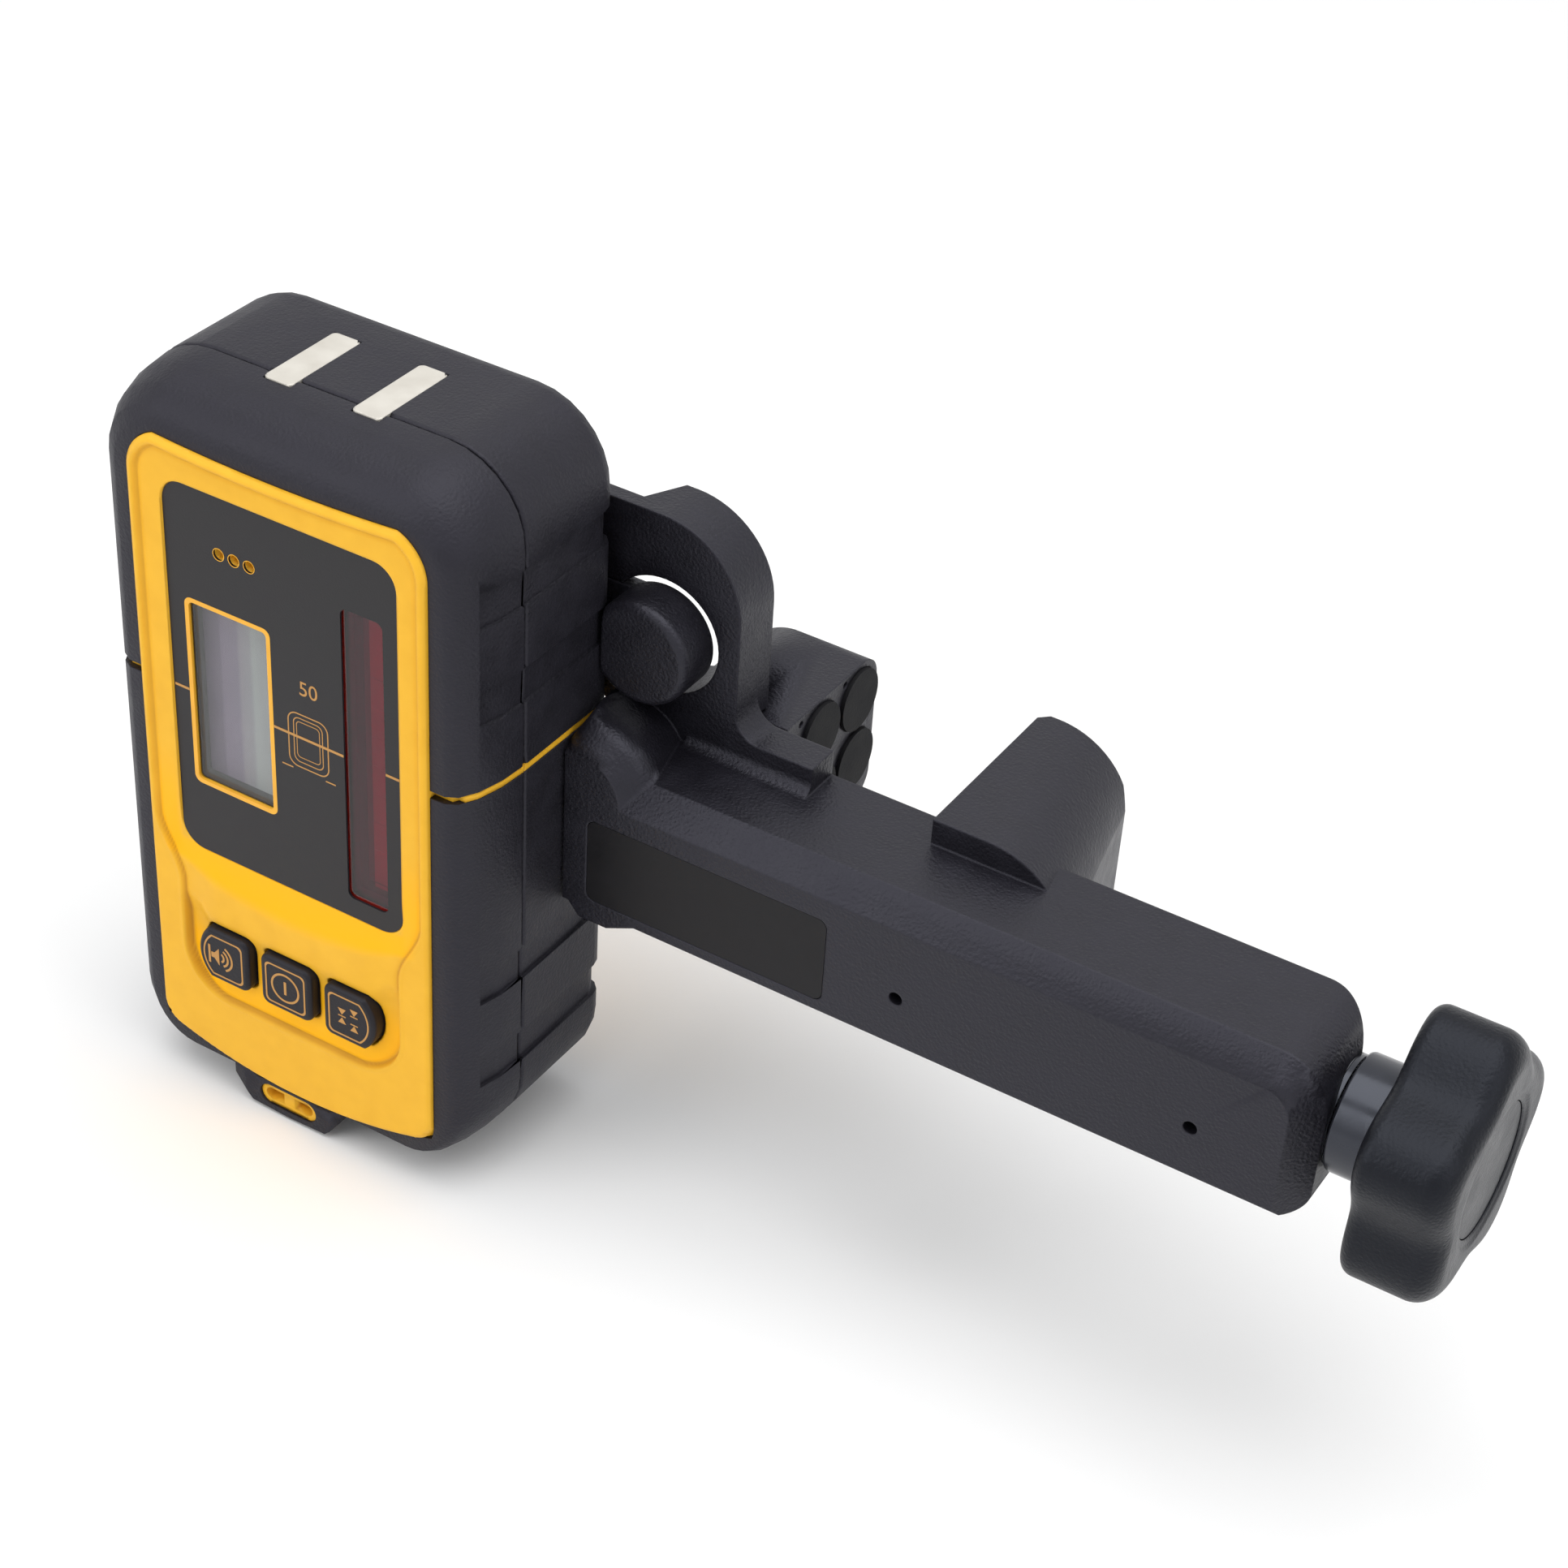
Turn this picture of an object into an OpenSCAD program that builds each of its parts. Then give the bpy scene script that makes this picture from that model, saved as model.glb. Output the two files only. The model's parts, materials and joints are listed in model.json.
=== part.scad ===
// Laser receiver for levelling work, latched on its staff clamp.
// The pieces are drawn about the receiver: X across its front, Y from front to back,
// Z up from the on-grade line.
// The whole is then moved so that the origin is the middle of the fixed jaw's grip face.

/* [Receiver housing] */
// Width of the housing at its seam
housing_w = 67.2; // [62:0.2:74]
// Height of the top above the on-grade line
top_h = 50; // [48:0.5:56]
// Depth of the bottom below the on-grade line
bottom_h = 71.5; // [70:0.5:78]
// Depth of the front shell, from its rim to the seam
front_depth = 13; // [12:0.25:16]
// Depth of the whole housing
housing_depth = 35.2; // [34.6:0.2:40]
// How far the sides bulge out between the front rim and the seam
side_bulge = 4.7; // [3:0.1:5]
// How far the top rounds up between the front rim and the seam
top_bulge = 7; // [4:0.1:7.4]
// Corner radius of the housing at the seam
corner_r = 13; // [11:0.5:15]
// Corner radius of the front rim
rim_corner_r = 8; // [6:0.5:10]
// Rounding of the rear edge
rear_round = 3.2; // [2:0.1:3.6]
// Thickness of the rubber grip over the shells
grip_t = 1.2; // [0.8:0.1:1.6]
// Wall of the plastic shells
wall = 2; // [1.6:0.1:2.4]
// Height of each sunk band on the grips' sides
band_h = 6; // [4:0.2:7]
// Depth of the sunk bands
band_depth = 0.6; // [0.3:0.05:0.8]
// Height of the on-grade line showing between the grips
grade_line_h = 1.2; // [0.8:0.1:2]

/* [Front panel] */
// Width of the rubber border on each side of the bezel
bezel_border = 2.5; // [1.8:0.1:4]
// How far the bezel stands in front of the label
bezel_proud = 0.8; // [0.5:0.1:1.4]
// Width of the label
label_w = 41.6; // [40:0.2:43]
// Gap between the bezel's upper edge and the label
label_gap = 6.8; // [6:0.1:8]
// Depth of the label's lower edge below the on-grade line
label_low = 29; // [27.6:0.2:31]
// Thickness of the label
label_t = 0.4; // [0.3:0.05:0.6]
// Width of the display window
display_w = 15; // [13:0.2:16]
// Height of the display window
display_h = 32.2; // [28:0.2:36]
// Distance of the display window's middle to the left of the centre
display_x = 9.6; // [9:0.1:10.4]
// Width of the sensor window
sensor_w = 7.4; // [6:0.2:8]
// Height of the sensor window
sensor_h = 51; // [44:0.5:52]
// Distance of the sensor window's middle to the right of the centre
sensor_x = 14.8; // [14:0.1:15.4]
// Diameter of each sound hole
sound_hole_d = 1.9; // [1.2:0.1:2.4]
// Height of the sound holes above the on-grade line
sound_hole_z = 25.9; // [24:0.1:27]
// Spacing of the three sound holes
sound_hole_pitch = 2.75; // [2.6:0.05:3.2]

/* [Buttons] */
// Height of the buttons' middle above the housing's bottom
button_rise = 24.3; // [22:0.1:27]
// Spacing of the three buttons
button_pitch = 12.2; // [11.6:0.1:13]
// Width and height of a button
button_size = 9.8; // [8:0.1:10]
// How far a button stands in front of the bezel
button_proud = 1.4; // [1.2:0.1:2]
// Travel of a button
button_travel = 1; // [0.6:0.1:1.2]

/* [Top magnets and lanyard lug] */
// Width of a magnet bar
magnet_w = 4.9; // [4:0.1:6]
// Length of a magnet bar
magnet_l = 16; // [12:0.5:18]
// Distance of each magnet's middle from the centre
magnet_x = 7.7; // [6:0.1:10]
// Width of the lanyard lug
lug_w = 21; // [18:0.5:24]
// Drop of the lug below the housing
lug_drop = 4.2; // [4:0.1:6]
// Thickness of the lug
lug_t = 6; // [5:0.2:7]
// Length of the slot in the lug
lug_slot_l = 9.2; // [8:0.2:11]
// Height of the slot in the lug
lug_slot_h = 2.1; // [1.7:0.1:2.2]

/* [Battery] */
// Width of the block battery
battery_w = 26.5; // [25:0.1:27]
// Depth of the block battery
battery_d = 16.6; // [15.6:0.1:17]
// Height of the block battery without its terminals
battery_h = 46; // [44:0.2:46.4]
// Height of the battery's lower end above the housing's bottom
battery_rise = 13.5; // [13.1:0.1:14.5]

/* [Rail and latch] */
// Gap between the battery door and the rail
rail_gap = 6.2; // [6:0.1:8]
// Height of the rail across its flange
rail_h = 25; // [24:0.2:26]
// Length of the rail
rail_l = 42; // [41:0.5:46]
// Depth of the undercut behind the rail's flange
rail_undercut = 1.5; // [1.3:0.05:1.8]
// Thickness of the rail's flange
rail_flange = 1; // [0.8:0.05:1.4]
// Gap between the receiver's side and the thumb pad
pad_side_gap = 0.5; // [0.5:0.1:1.2]
// How far the thumb pad reaches out beside the receiver
pad_reach = 14.5; // [13.4:0.1:15]
// Diameter of the thumb pad, which is cut flat along the receiver's side
pad_d = 16.8; // [15.4:0.1:17.4]
// Height of the latch's tongue
tongue_h = 12; // [10:0.2:12.2]
// Gap round the thumb pad in its hole
pad_ring_gap = 1.2; // [1.1:0.05:1.6]
// How far the thumb pad stands in front of the plate
pad_proud = 7; // [5:0.2:9]
// Diameter of the latch's pivot pin
latch_pin_d = 2; // [1.6:0.1:2.4]
// Distance of the latch's pivot to the left of the receiver's centre
latch_pivot_x = 6; // [4:0.2:8]
// Depth of the latch nose in its socket
latch_bite = 1.3; // [0.8:0.1:1.6]
// Turns of the latch spring
spring_turns = 5; // [3:1:5]
// Wire diameter of the latch spring
spring_wire = 0.6; // [0.4:0.05:0.7]

/* [Clamp plate] */
// Gap between the rail and the plate
plate_gap = 0.3; // [0.2:0.05:0.5]
// Thickness of the plate behind the receiver
plate_thin = 2.6; // [2.2:0.1:3.2]
// Thickness of the plate beside the receiver
plate_thick = 9; // [7:0.2:10]
// Width of the plate to the right of the thumb pad's hole
plate_rim = 3.5; // [2:0.1:4]
// Height of the plate's top above the middle of the rail
plate_rise = 20.1; // [18:0.1:22.6]
// Radius of the plate's upper right corner
plate_corner_r = 13.8; // [11:0.2:15]

/* [Clamp arm] */
// Gap between the receiver's side and the arm's end
arm_side_gap = 0.5; // [0.4:0.1:1]
// Length of the arm
arm_l = 121.4; // [115:0.2:135]
// Depth of the arm's top below the middle of the rail
arm_drop = 17.2; // [16.7:0.1:18.3]
// Height of the arm
arm_h = 25.2; // [24:0.2:28]
// Depth of the arm from its front face to its back
arm_d = 21.7; // [20.6:0.1:24]
// Distance from the arm's front face back to the plate's face
arm_to_plate = 15.7; // [14.4:0.1:16.6]
// Bevel along the arm's upper front edge
arm_bevel = 4; // [2.5:0.1:4.6]
// Radius of the arm's upper right corner, seen from the front
arm_corner_r = 8; // [5:0.2:9]
// Wall of the hollow arm
arm_wall = 3.2; // [2.6:0.1:3.6]
// How far the flared left end rises above the arm
flare_rise = 7.2; // [5:0.2:7.4]
// Length of the label recess
arm_label_l = 41.4; // [34:0.2:46]
// Height of the label recess
arm_label_h = 14.8; // [10:0.2:16]
// Diameter of the two moulding holes in the arm's front
pin_hole_d = 2.2; // [1.4:0.1:3]
// Height of the ledge and the fixed jaw above the arm
deck_rise = 4.3; // [3:0.1:4.4]
// Length of the ledge beside the plate
ledge_l = 13.4; // [9:0.2:15]
// Radius of the moulded fillets on the arm's top
fillet_r = 2; // [1:0.1:2.2]

/* [Jaws] */
// Distance from the arm's left end to the fixed jaw's grip face
grip_from_left = 52.8; // [52.4:0.1:58]
// Gap between the jaws as shown
jaw_gap = 27.8; // [26.6:0.2:28.2]
// Reach of the jaws behind the arm
jaw_reach = 26.5; // [23.5:0.5:30]
// Height of the jaws
jaw_h = 26.4; // [25:0.2:30]
// Width of the fixed jaw at the arm
fixed_jaw_w = 22.4; // [20:0.2:24]
// Width of the moving jaw
moving_jaw_w = 24; // [20:0.5:25]
// Width lost by the fixed jaw towards its free end
jaw_taper = 6.3; // [3:0.1:7]
// Radius of the fixed jaw's rounded shoulder
jaw_shoulder_r = 13; // [9:0.2:13.4]
// Diameter of a grip pad
pad_disc_d = 10.4; // [8:0.1:10.8]
// Thickness of a grip pad
pad_disc_t = 1.4; // [1:0.1:2]
// Spacing of the grip pads
pad_pitch = 11.2; // [11:0.1:12]
// Travel of the moving jaw towards the fixed jaw
jaw_close = 25; // [15:0.5:25]
// Travel of the moving jaw away from the fixed jaw
jaw_open = 6; // [2:0.5:6.4]

/* [Screw and knob] */
// Diameter of the clamp screw
screw_d = 8; // [6:0.1:9]
// Distance of the screw's axis behind the arm's front face
screw_back = 12.4; // [11.6:0.1:13]
// Diameter of the nut
nut_d = 12.6; // [11:0.1:12.8]
// Length of the nut
nut_l = 6.4; // [5:0.1:7]
// Diameter of the knob's collar
collar_d = 17.6; // [14:0.1:19]
// Length of the knob's collar
collar_l = 7; // [5:0.1:9]
// Diameter of the knob across its lobes
knob_d = 41; // [36:0.5:46]
// Thickness of the knob
knob_t = 14; // [11:0.2:18]
// Depth of the hollows between the lobes
lobe_depth = 4; // [2:0.1:5]
// Number of lobes
lobes = 5; // [4:1:7]
// Diameter of the cap in the knob's end
cap_d = 20; // [16:0.2:22]

/* [Hidden] */
$fn = 48;

// Clearances
bond_gap = 0.05;
seat_gap = 0.1;
run_gap = 0.3;
slide_gap = 0.4;
pin_gap = 0.03;
eps = 0.5;

// Receiver
half_w = housing_w / 2;
seam_y = front_depth;
rear_y = housing_depth;
shell_in = grip_t + wall;
form_fn = 28;
bulge_steps = 4;
rear_steps = 3;
low_bulge = 1.4;
band_front = 4;
band_in_top = [19.2, 35.5];
band_in_low = [35.5, 19.3];
band_z = concat([for (d = band_in_top) top_h - d], [for (d = band_in_low) d - bottom_h]);
band_wrap = 5;
far = 4 * (top_h + bottom_h);

// Front panel
bezel_half = half_w - side_bulge - bezel_border;
bezel_top = top_h - top_bulge - 0.6;
bezel_low = bottom_h - low_bulge + 0.3;
bezel_top_r = 7.5;
bezel_low_r = 7;
bezel_low_bow = 78;
bezel_dip = 1.3;
bezel_dip_r = bezel_half * bezel_half / (2 * bezel_dip);
button_z = bottom_h - button_rise;
label_top = bezel_top - label_gap;
swoop_rim = 1;
swoop_y = 0.5 - bezel_proud;
swoop_half = button_pitch + button_size / 2 + 3.1;
swoop_low_z = -button_z - button_size / 2 - 5.1;
swoop_low_r = 7.5;
swoop_neck_z = -label_low - 3.5;
swoop_shoulder_r = 8;
swoop_neck_r = 3;
label_r = 4;
label_x = 0.4;
label_z = (label_top - label_low) / 2;
label_h = label_top + label_low;
label_floor = label_t + bond_gap;
pane_lip = 0.6;
pane_t = 1;
sound_hole_x = 7.75;
window_r = 1.2;

// Inside the receiver
screw_x = 22.5;
screw_from_top = 12;
screw_from_bottom = 13.5;
screw_top_z = top_h - screw_from_top;
screw_low_z = bottom_h - screw_from_bottom;
shell_boss_d = 6.4;
board_top_gap = 0.8;
board_low_gap = 1.8;
post_from_top = 4.5;
post_from_bottom = 3.5;
lcd_rim = 2.6;
lcd_t = 3.5;
lcd_front = shell_in + seat_gap;
board_y = lcd_front + lcd_t + seat_gap;
board_t = 1.6;
board_half_w = 28;
board_top = screw_top_z - shell_boss_d / 2 - board_top_gap;
board_low = screw_low_z - shell_boss_d / 2 - board_low_gap;
board_r = 4;
post_d = 5;
post_x = 25;
post_top_z = board_top - post_from_top;
post_low_z = board_low - post_from_bottom;
diode_count = 12;
diode_h = 3;
diode_w = 3.2;
diode_gap = 1;
diode_t = 1.4;
diode_y = shell_in + diode_gap;
diode_board_y = diode_y + diode_t;
diode_board_t = 1;
buzzer_d = 12;
buzzer_port_d = 4;
buzzer_port_h = 1.1;
mat_margin = 1.2;
mat_r = 2;
key_r = 1.6;
key_flange = 0.6;
key_flange_t = 1;
mat_y = shell_in + seat_gap + key_flange_t + button_travel + run_gap;

// Shell screws
shell_screw_d = 2.9;
shell_screw_head_d = 5.4;
shell_screw_head_h = 2;
shell_screw_spare = 0.4;
shell_screw_sink = 0.3;
shell_screw_socket_d = 2.6;
shell_screw_socket_h = 1.2;
screw_tip_y = shell_in + 3;
gasket_in = 0.5;
gasket_w = 1;
gasket_t = 1.2;
magnet_t = grip_t + gasket_in - seat_gap - bond_gap;

// Back panel and battery bay
panel_in = 7;
panel_r = 8;
door_margin = 2.6;
door_half_w = battery_w / 2 + door_margin;
door_low_margin = 2.2;
door_top_margin = 5.6;
battery_low = bottom_h - battery_rise;
door_low_z = -battery_low - door_low_margin;
door_top_z = -battery_low + battery_h + door_top_margin;
door_t = shell_in;
door_r = 2;
door_grooves = 5;
door_groove_d = 0.9;
door_groove_l = 14;
door_groove_pitch = 2;
door_pin_d = 2;
door_knuckle_d = 4;
door_pin_y = rear_y - door_knuckle_d / 2 + 0.4;
door_pin_z = door_low_z - door_knuckle_d / 2 + 0.2;
door_knuckle_w = 14;
door_clear_r = norm([door_low_z - run_gap - door_pin_z, rear_y - door_pin_y]) + run_gap;
battery_y1 = rear_y - door_t - run_gap;
battery_y0 = battery_y1 - battery_d;
battery_r = 2;
bay_wall = 1.2;
bay_half_w = battery_w / 2 + 0.25;
bay_floor_z = -battery_low - 0.25;
bay_ledge_half_w = door_half_w + run_gap + 1.5;
bay_ledge_t = 1.6;
bay_back_y = rear_y - shell_in + eps;
terminal_h = 2.6;
terminal_d = 5.6;
terminal_x = 6.35;
contact_t = 3.4;
contact_low_z = -battery_low + battery_h + seat_gap;
bay_top_z = contact_low_z + contact_t + seat_gap;

// Rail, plate and latch
rail_z = door_top_z + rail_gap + rail_h / 2;
arm_top_z = rail_z - arm_drop;
rail_y1 = rear_y + rail_undercut + rail_flange;
rail_web_in = 2.4;
rail_left = -24;
plate_y = rail_y1 + plate_gap;
plate_left = -14;
plate_foot = 2.3;
plate_low = arm_top_z + plate_foot;
plate_top = rail_z + plate_rise;
lip_t = 2.8;
lip_in = 2;
lip_z = rail_h / 2 + run_gap;
lip_right = half_w - rear_round - 2;
thick_left = half_w + 0.8;
thick_ramp = 3.2;
tongue_half = tongue_h / 2;
pad_x = half_w + pad_side_gap + pad_reach - pad_d / 2;
pad_hole_d = pad_d + 2 * pad_ring_gap;
plate_right = pad_x + pad_hole_d / 2 + plate_rim;
latch_y = plate_y + plate_thin / 2 + 0.7;
knuckle_r = latch_pin_d / 2 + 0.95;
latch_nose_x = 11;
latch_nose_d = 6;
latch_socket_d = latch_nose_d + 1;
latch_socket_spare = 0.6;
ear_w = 2 * knuckle_r + 1.2;
ear_h = 3;
spring_x = 23;
spring_d = 5.6;
spring_l = 6.6;
bridge_y = plate_y + plate_thin + spring_l + 2 * seat_gap;
bridge_t = 1.8;
bridge_w = 8;
bridge_leg = 2.6;
pad_round = 1.3;
pad_root = 0.5;

// Clamp arm
arm_y = plate_y - arm_to_plate;
arm_back = arm_y + arm_d;
arm_low_z = arm_top_z - arm_h;
arm_left = half_w + arm_side_gap;
arm_right = arm_left + arm_l;
ledge_right = plate_right + ledge_l;
grip_x = arm_left + grip_from_left;
flare_l = 13;
flare_drop = 1.3;
flare_r = 11;
flare_fall = 3;
flare_edge_r = 3.5;
flare_lip_in = 1;
flare_lip_start = 3;
flare_lip_end = 8;
flare_x = arm_left + 2.6;
flare_z = arm_top_z + flare_rise - flare_r;
arm_end_r = 9;
arm_foot_r = 3;
channel_y = arm_y + arm_wall;
channel_low = arm_low_z + arm_wall + 0.4;
channel_top = arm_top_z - arm_wall - 0.4;
end_wall = 6.5;
channel_right = arm_right - end_wall;
channel_lip = 2.5;
slot_in = 2;
slot_y = arm_back - channel_lip;
deck_z = arm_top_z + deck_rise;
arm_label_t = 0.5;
arm_label_x = arm_left + arm_bevel + 0.2;
arm_label_z = arm_low_z + arm_h / 2 - 2.5;
arm_label_r = 1.5;
pin_hole_depth = 2.4;
pin_hole_rise = 9.2;
pin_hole_from_end = [63.9, 17.3];
pin_hole_z = arm_low_z + pin_hole_rise;
pin_hole_at = [for (d = pin_hole_from_end) arm_right - d];

// Jaws
jaw_y = arm_back + run_gap;
jaw_y1 = jaw_y + jaw_reach;
jaw_low = deck_z - jaw_h;
jaw_taper_angle = atan(jaw_taper / (jaw_y1 - plate_y));
jaw_meet_x = grip_x + fixed_jaw_w - jaw_shoulder_r
    + sqrt(pow(jaw_shoulder_r, 2) - pow(jaw_shoulder_r - deck_rise, 2));
pad_face_x = grip_x - jaw_gap;
pad_stand = 0.6;
jaw_face_x = pad_face_x - pad_stand;
foot_l = 14;
jaw_tip_r = 1.5;
jaw_edge_r = 4.5;
jaw_flat = 7;
jaw_fall_r = 22;
foot_y = channel_y + slide_gap;
pad_sink = pad_disc_t - pad_stand;
pad_rear_y = jaw_y1 - pad_disc_d / 2 - 0.4;
pad_top_z = deck_z - pad_disc_d / 2 - 0.9;
jaw_pip_in = [4, 16.7];
jaw_pip_drop = 1.3;
jaw_pip_at = [for (d = jaw_pip_in) jaw_y + d];
jaw_pip_z = deck_z - jaw_pip_drop;
jaw_pip_d = 1.2;
jaw_pip_h = 1.5;
nut_mid_x = jaw_face_x - foot_l / 2;
channel_left = jaw_face_x - foot_l - jaw_open - 1.8;
slot_right = jaw_face_x + jaw_close + 1;
grip_y = jaw_y + jaw_reach / 2;
grip_z = deck_z - jaw_h / 2;

// Screw and knob
screw_y = arm_y + screw_back;
screw_z = arm_top_z - arm_h / 2;
screw_left = channel_left + 2;
bush_wall = 2.3;
bush_flange_w = 1.7;
bush_d = screw_d + 2 * bush_wall;
bush_flange_d = bush_d + 2 * bush_flange_w;
bush_flange_t = 0.7;
washer_t = 0.7;
clip_w = 2.5;
clip_d = screw_d + 2 * clip_w;
clip_t = 0.9;
flange_x = arm_right - bush_flange_t - washer_t;
washer_x = flange_x + bush_flange_t + seat_gap;
knob_x = washer_x + washer_t + run_gap;
knob_body_x = knob_x + collar_l;
knob_end_x = knob_body_x + knob_t;
knob_round = 4.2;
knob_back_round = 2.2;
knob_bore_stop = 5;
cap_t = 1.6;
cap_sink = 0.6;
lobe_start = 225;
lobe_points = 24;

// Move the assembly from the receiver's frame to the grip face of the fixed jaw
module in_frame() translate([-grip_x, -grip_y, -grip_z]) children();

// Extrude an X-Z outline from one depth to another
module along_y(y0, y1) translate([0, y1, 0]) rotate([90, 0, 0]) linear_extrude(y1 - y0) children();

// Extrude a Y-Z outline from one place across to another
module along_x(x0, x1) translate([x0, 0, 0]) rotate([90, 0, 90]) linear_extrude(x1 - x0) children();

// A cylinder along X
module x_rod(x0, x1, y, z, d) translate([x0, y, z]) rotate([0, 90, 0]) cylinder(h = x1 - x0, d = d);

// A cylinder along Y
module y_rod(x, y0, y1, z, d) translate([x, y0, z]) rotate([-90, 0, 0]) cylinder(h = y1 - y0, d = d);

// A cylinder along X about the screw's axis
module on_screw(x0, x1, d) x_rod(x0, x1, screw_y, screw_z, d);

// A box between two corners
module block(low, high) translate(low) cube(high - low);

// Rounded rectangle from one corner to the other
module round_rect(low, high, r) {
    translate([low[0], low[1] + r]) square([high[0] - low[0], high[1] - low[1] - 2 * r]);
    translate([low[0] + r, low[1]]) square([high[0] - low[0] - 2 * r, high[1] - low[1]]);
    for (x = [low[0] + r, high[0] - r], z = [low[1] + r, high[1] - r]) translate([x, z]) circle(r);
}

// Rounded rectangle about a middle
module round_pane(x, z, w, h, r) round_rect([x - w / 2, z - h / 2], [x + w / 2, z + h / 2], r);

// One thin slice of the housing's form
module form_slice(y, side_in, top_in, low_in, r) {
    x = half_w - side_in - r;
    for (z = [top_h - top_in - r, -bottom_h + low_in + r], s = [-1, 1])
        translate([s * x, y, z]) rotate([90, 0, 0]) cylinder(h = 0.02, r = r, center = true, $fn = form_fn);
}

// Form of the housing, all round smaller by inset: a bulged front half and a rounded back
module housing_form(inset) hull() {
    for (i = [0 : bulge_steps]) {
        a = 90 * i / bulge_steps;
        drop = 1 - sin(a);
        r = corner_r + (rim_corner_r - corner_r) * drop - inset;
        form_slice(max(seam_y * (1 - cos(a)), inset), side_bulge * drop + inset,
            top_bulge * drop + inset, low_bulge * drop + inset, r);
    }
    for (i = [0 : rear_steps]) {
        a = 90 * i / rear_steps;
        drop = rear_round * (1 - cos(a));
        form_slice(rear_y - rear_round * (1 - sin(a)) - inset, drop + inset, drop + inset, drop + inset,
            corner_r - drop - inset);
    }
}

// Outline of the housing at its seam
module seam_outline(inset)
    round_rect([-half_w + inset, -bottom_h + inset], [half_w - inset, top_h - inset], corner_r - inset);

// Outline of the bezel: bowed below, dipped above
module bezel_outline(grow) {
    top = bezel_top + grow;
    low = -bezel_low - grow;
    half = bezel_half + grow;
    difference() {
        intersection() {
            union() {
                round_rect([-half, 0], [half, top], bezel_top_r);
                round_rect([-half, low], [half, bezel_top_r * 2], bezel_low_r);
            }
            translate([0, low + bezel_low_bow]) circle(bezel_low_bow, $fn = 180);
        }
        translate([0, top - bezel_dip + bezel_dip_r]) circle(bezel_dip_r, $fn = 180);
    }
}

// Outline of the sunk field on the bezel: wide about the label, narrow about the buttons
module swoop_outline() intersection() {
    bezel_outline(-swoop_rim);
    union() {
        round_rect([-bezel_half, swoop_neck_z], [bezel_half, bezel_top + swoop_shoulder_r],
            swoop_shoulder_r);
        round_rect([-swoop_half, swoop_low_z], [swoop_half, 0], swoop_low_r);
        for (s = [-1, 1]) translate([s * swoop_half, swoop_neck_z]) mirror([s < 0 ? 1 : 0, 0])
            mirror([0, 1]) hollow_fillet(swoop_neck_r);
    }
}

// Outline of a button: the outer ones are rounded on their outer side
module button_outline(side, grow) {
    s = button_size / 2 + grow;
    x = side * button_pitch;
    if (side == 0) round_pane(0, -button_z, 2 * s, 2 * s, key_r);
    else intersection() {
        round_pane(x, -button_z, 2 * s, 2 * s, key_r);
        translate([x - side * s * 0.35, -button_z]) circle(s * 1.35);
    }
}

// Outline of the panel on the receiver's back
module back_panel_outline(grow)
    round_rect([-half_w + panel_in - grow, -bottom_h + panel_in - grow],
        [half_w - panel_in + grow, top_h - panel_in + grow], panel_r);

// Places of the shell screws, as X and Z
shell_screw_at = [for (x = [-screw_x, screw_x], z = [screw_top_z, -screw_low_z]) [x, z]];

// Front half and back half of the space, each short of the seam
module front_side() block([-far, -far, -far], [far, seam_y - seat_gap, far]);
module back_side() block([-far, seam_y + seat_gap, -far], [far, far, far]);

// Pockets of the two magnet bars
module magnet_bars(grow, deep) for (s = [-1, 1])
    block([s * magnet_x - magnet_w / 2 - grow, magnet_y0 - grow, top_h - magnet_t - deep],
        [s * magnet_x + magnet_w / 2 + grow, magnet_y0 + magnet_l + grow, top_h + eps]);
magnet_y0 = seam_y - 2.1;

// Lug below the front shell: a rubber tab round a yellow frame with a post across its slot
lug_x = -2;
lug_y0 = -0.4;
lug_set = 0.4;
lug_frame = 0.9;
lug_post_w = 2.1;
lug_flare = 2.3;
lug_root_z = -bottom_h + low_bulge + 3;
lug_slot_z = -bottom_h - lug_drop / 2 + 0.7;
lug_low_z = -bottom_h - lug_drop;
module lug_outline() for (s = [-1, 1]) polygon([[lug_x, lug_root_z], [lug_x + s * lug_w / 2, lug_root_z],
    [lug_x + s * lug_w / 2, -bottom_h], [lug_x + s * (lug_w / 2 - lug_flare), lug_low_z + 1],
    [lug_x + s * (lug_w / 2 - lug_flare - 1), lug_low_z], [lug_x, lug_low_z - 0.3]]);
module lug_slot(grow) round_pane(lug_x, lug_slot_z, lug_slot_l + 2 * grow, lug_slot_h + 2 * grow,
    lug_slot_h / 2 + grow - 0.02);
module lug_stalk() translate([lug_x - lug_slot_l / 2, lug_slot_z])
    square([lug_slot_l, lug_root_z - lug_slot_z]);
module lug_stalk_gap() translate([lug_x - lug_slot_l / 2 - bond_gap, lug_slot_z])
    square([lug_slot_l + 2 * bond_gap, lug_root_z - lug_slot_z + 1]);
module lug_holes() difference() {
    along_y(lug_y0 - eps, lug_y0 + lug_t + eps) lug_slot(0);
    block([lug_x - lug_post_w / 2, -far, -far], [lug_x + lug_post_w / 2, lug_y0 + lug_t / 2, far]);
}

// Stepped hole for a window pane: the pane rests on the lip
module window_hole(x, w, h) {
    grow = 2 * (pane_lip + bond_gap);
    along_y(-eps, label_floor + pane_t + bond_gap) round_pane(x, 0, w + grow, h + grow, window_r);
    along_y(-eps, shell_in + eps) round_pane(x, 0, w, h, window_r);
}

// Places of the sound holes across the label
sound_hole_at = [for (i = [-1 : 1]) -sound_hole_x + i * sound_hole_pitch];

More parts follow.
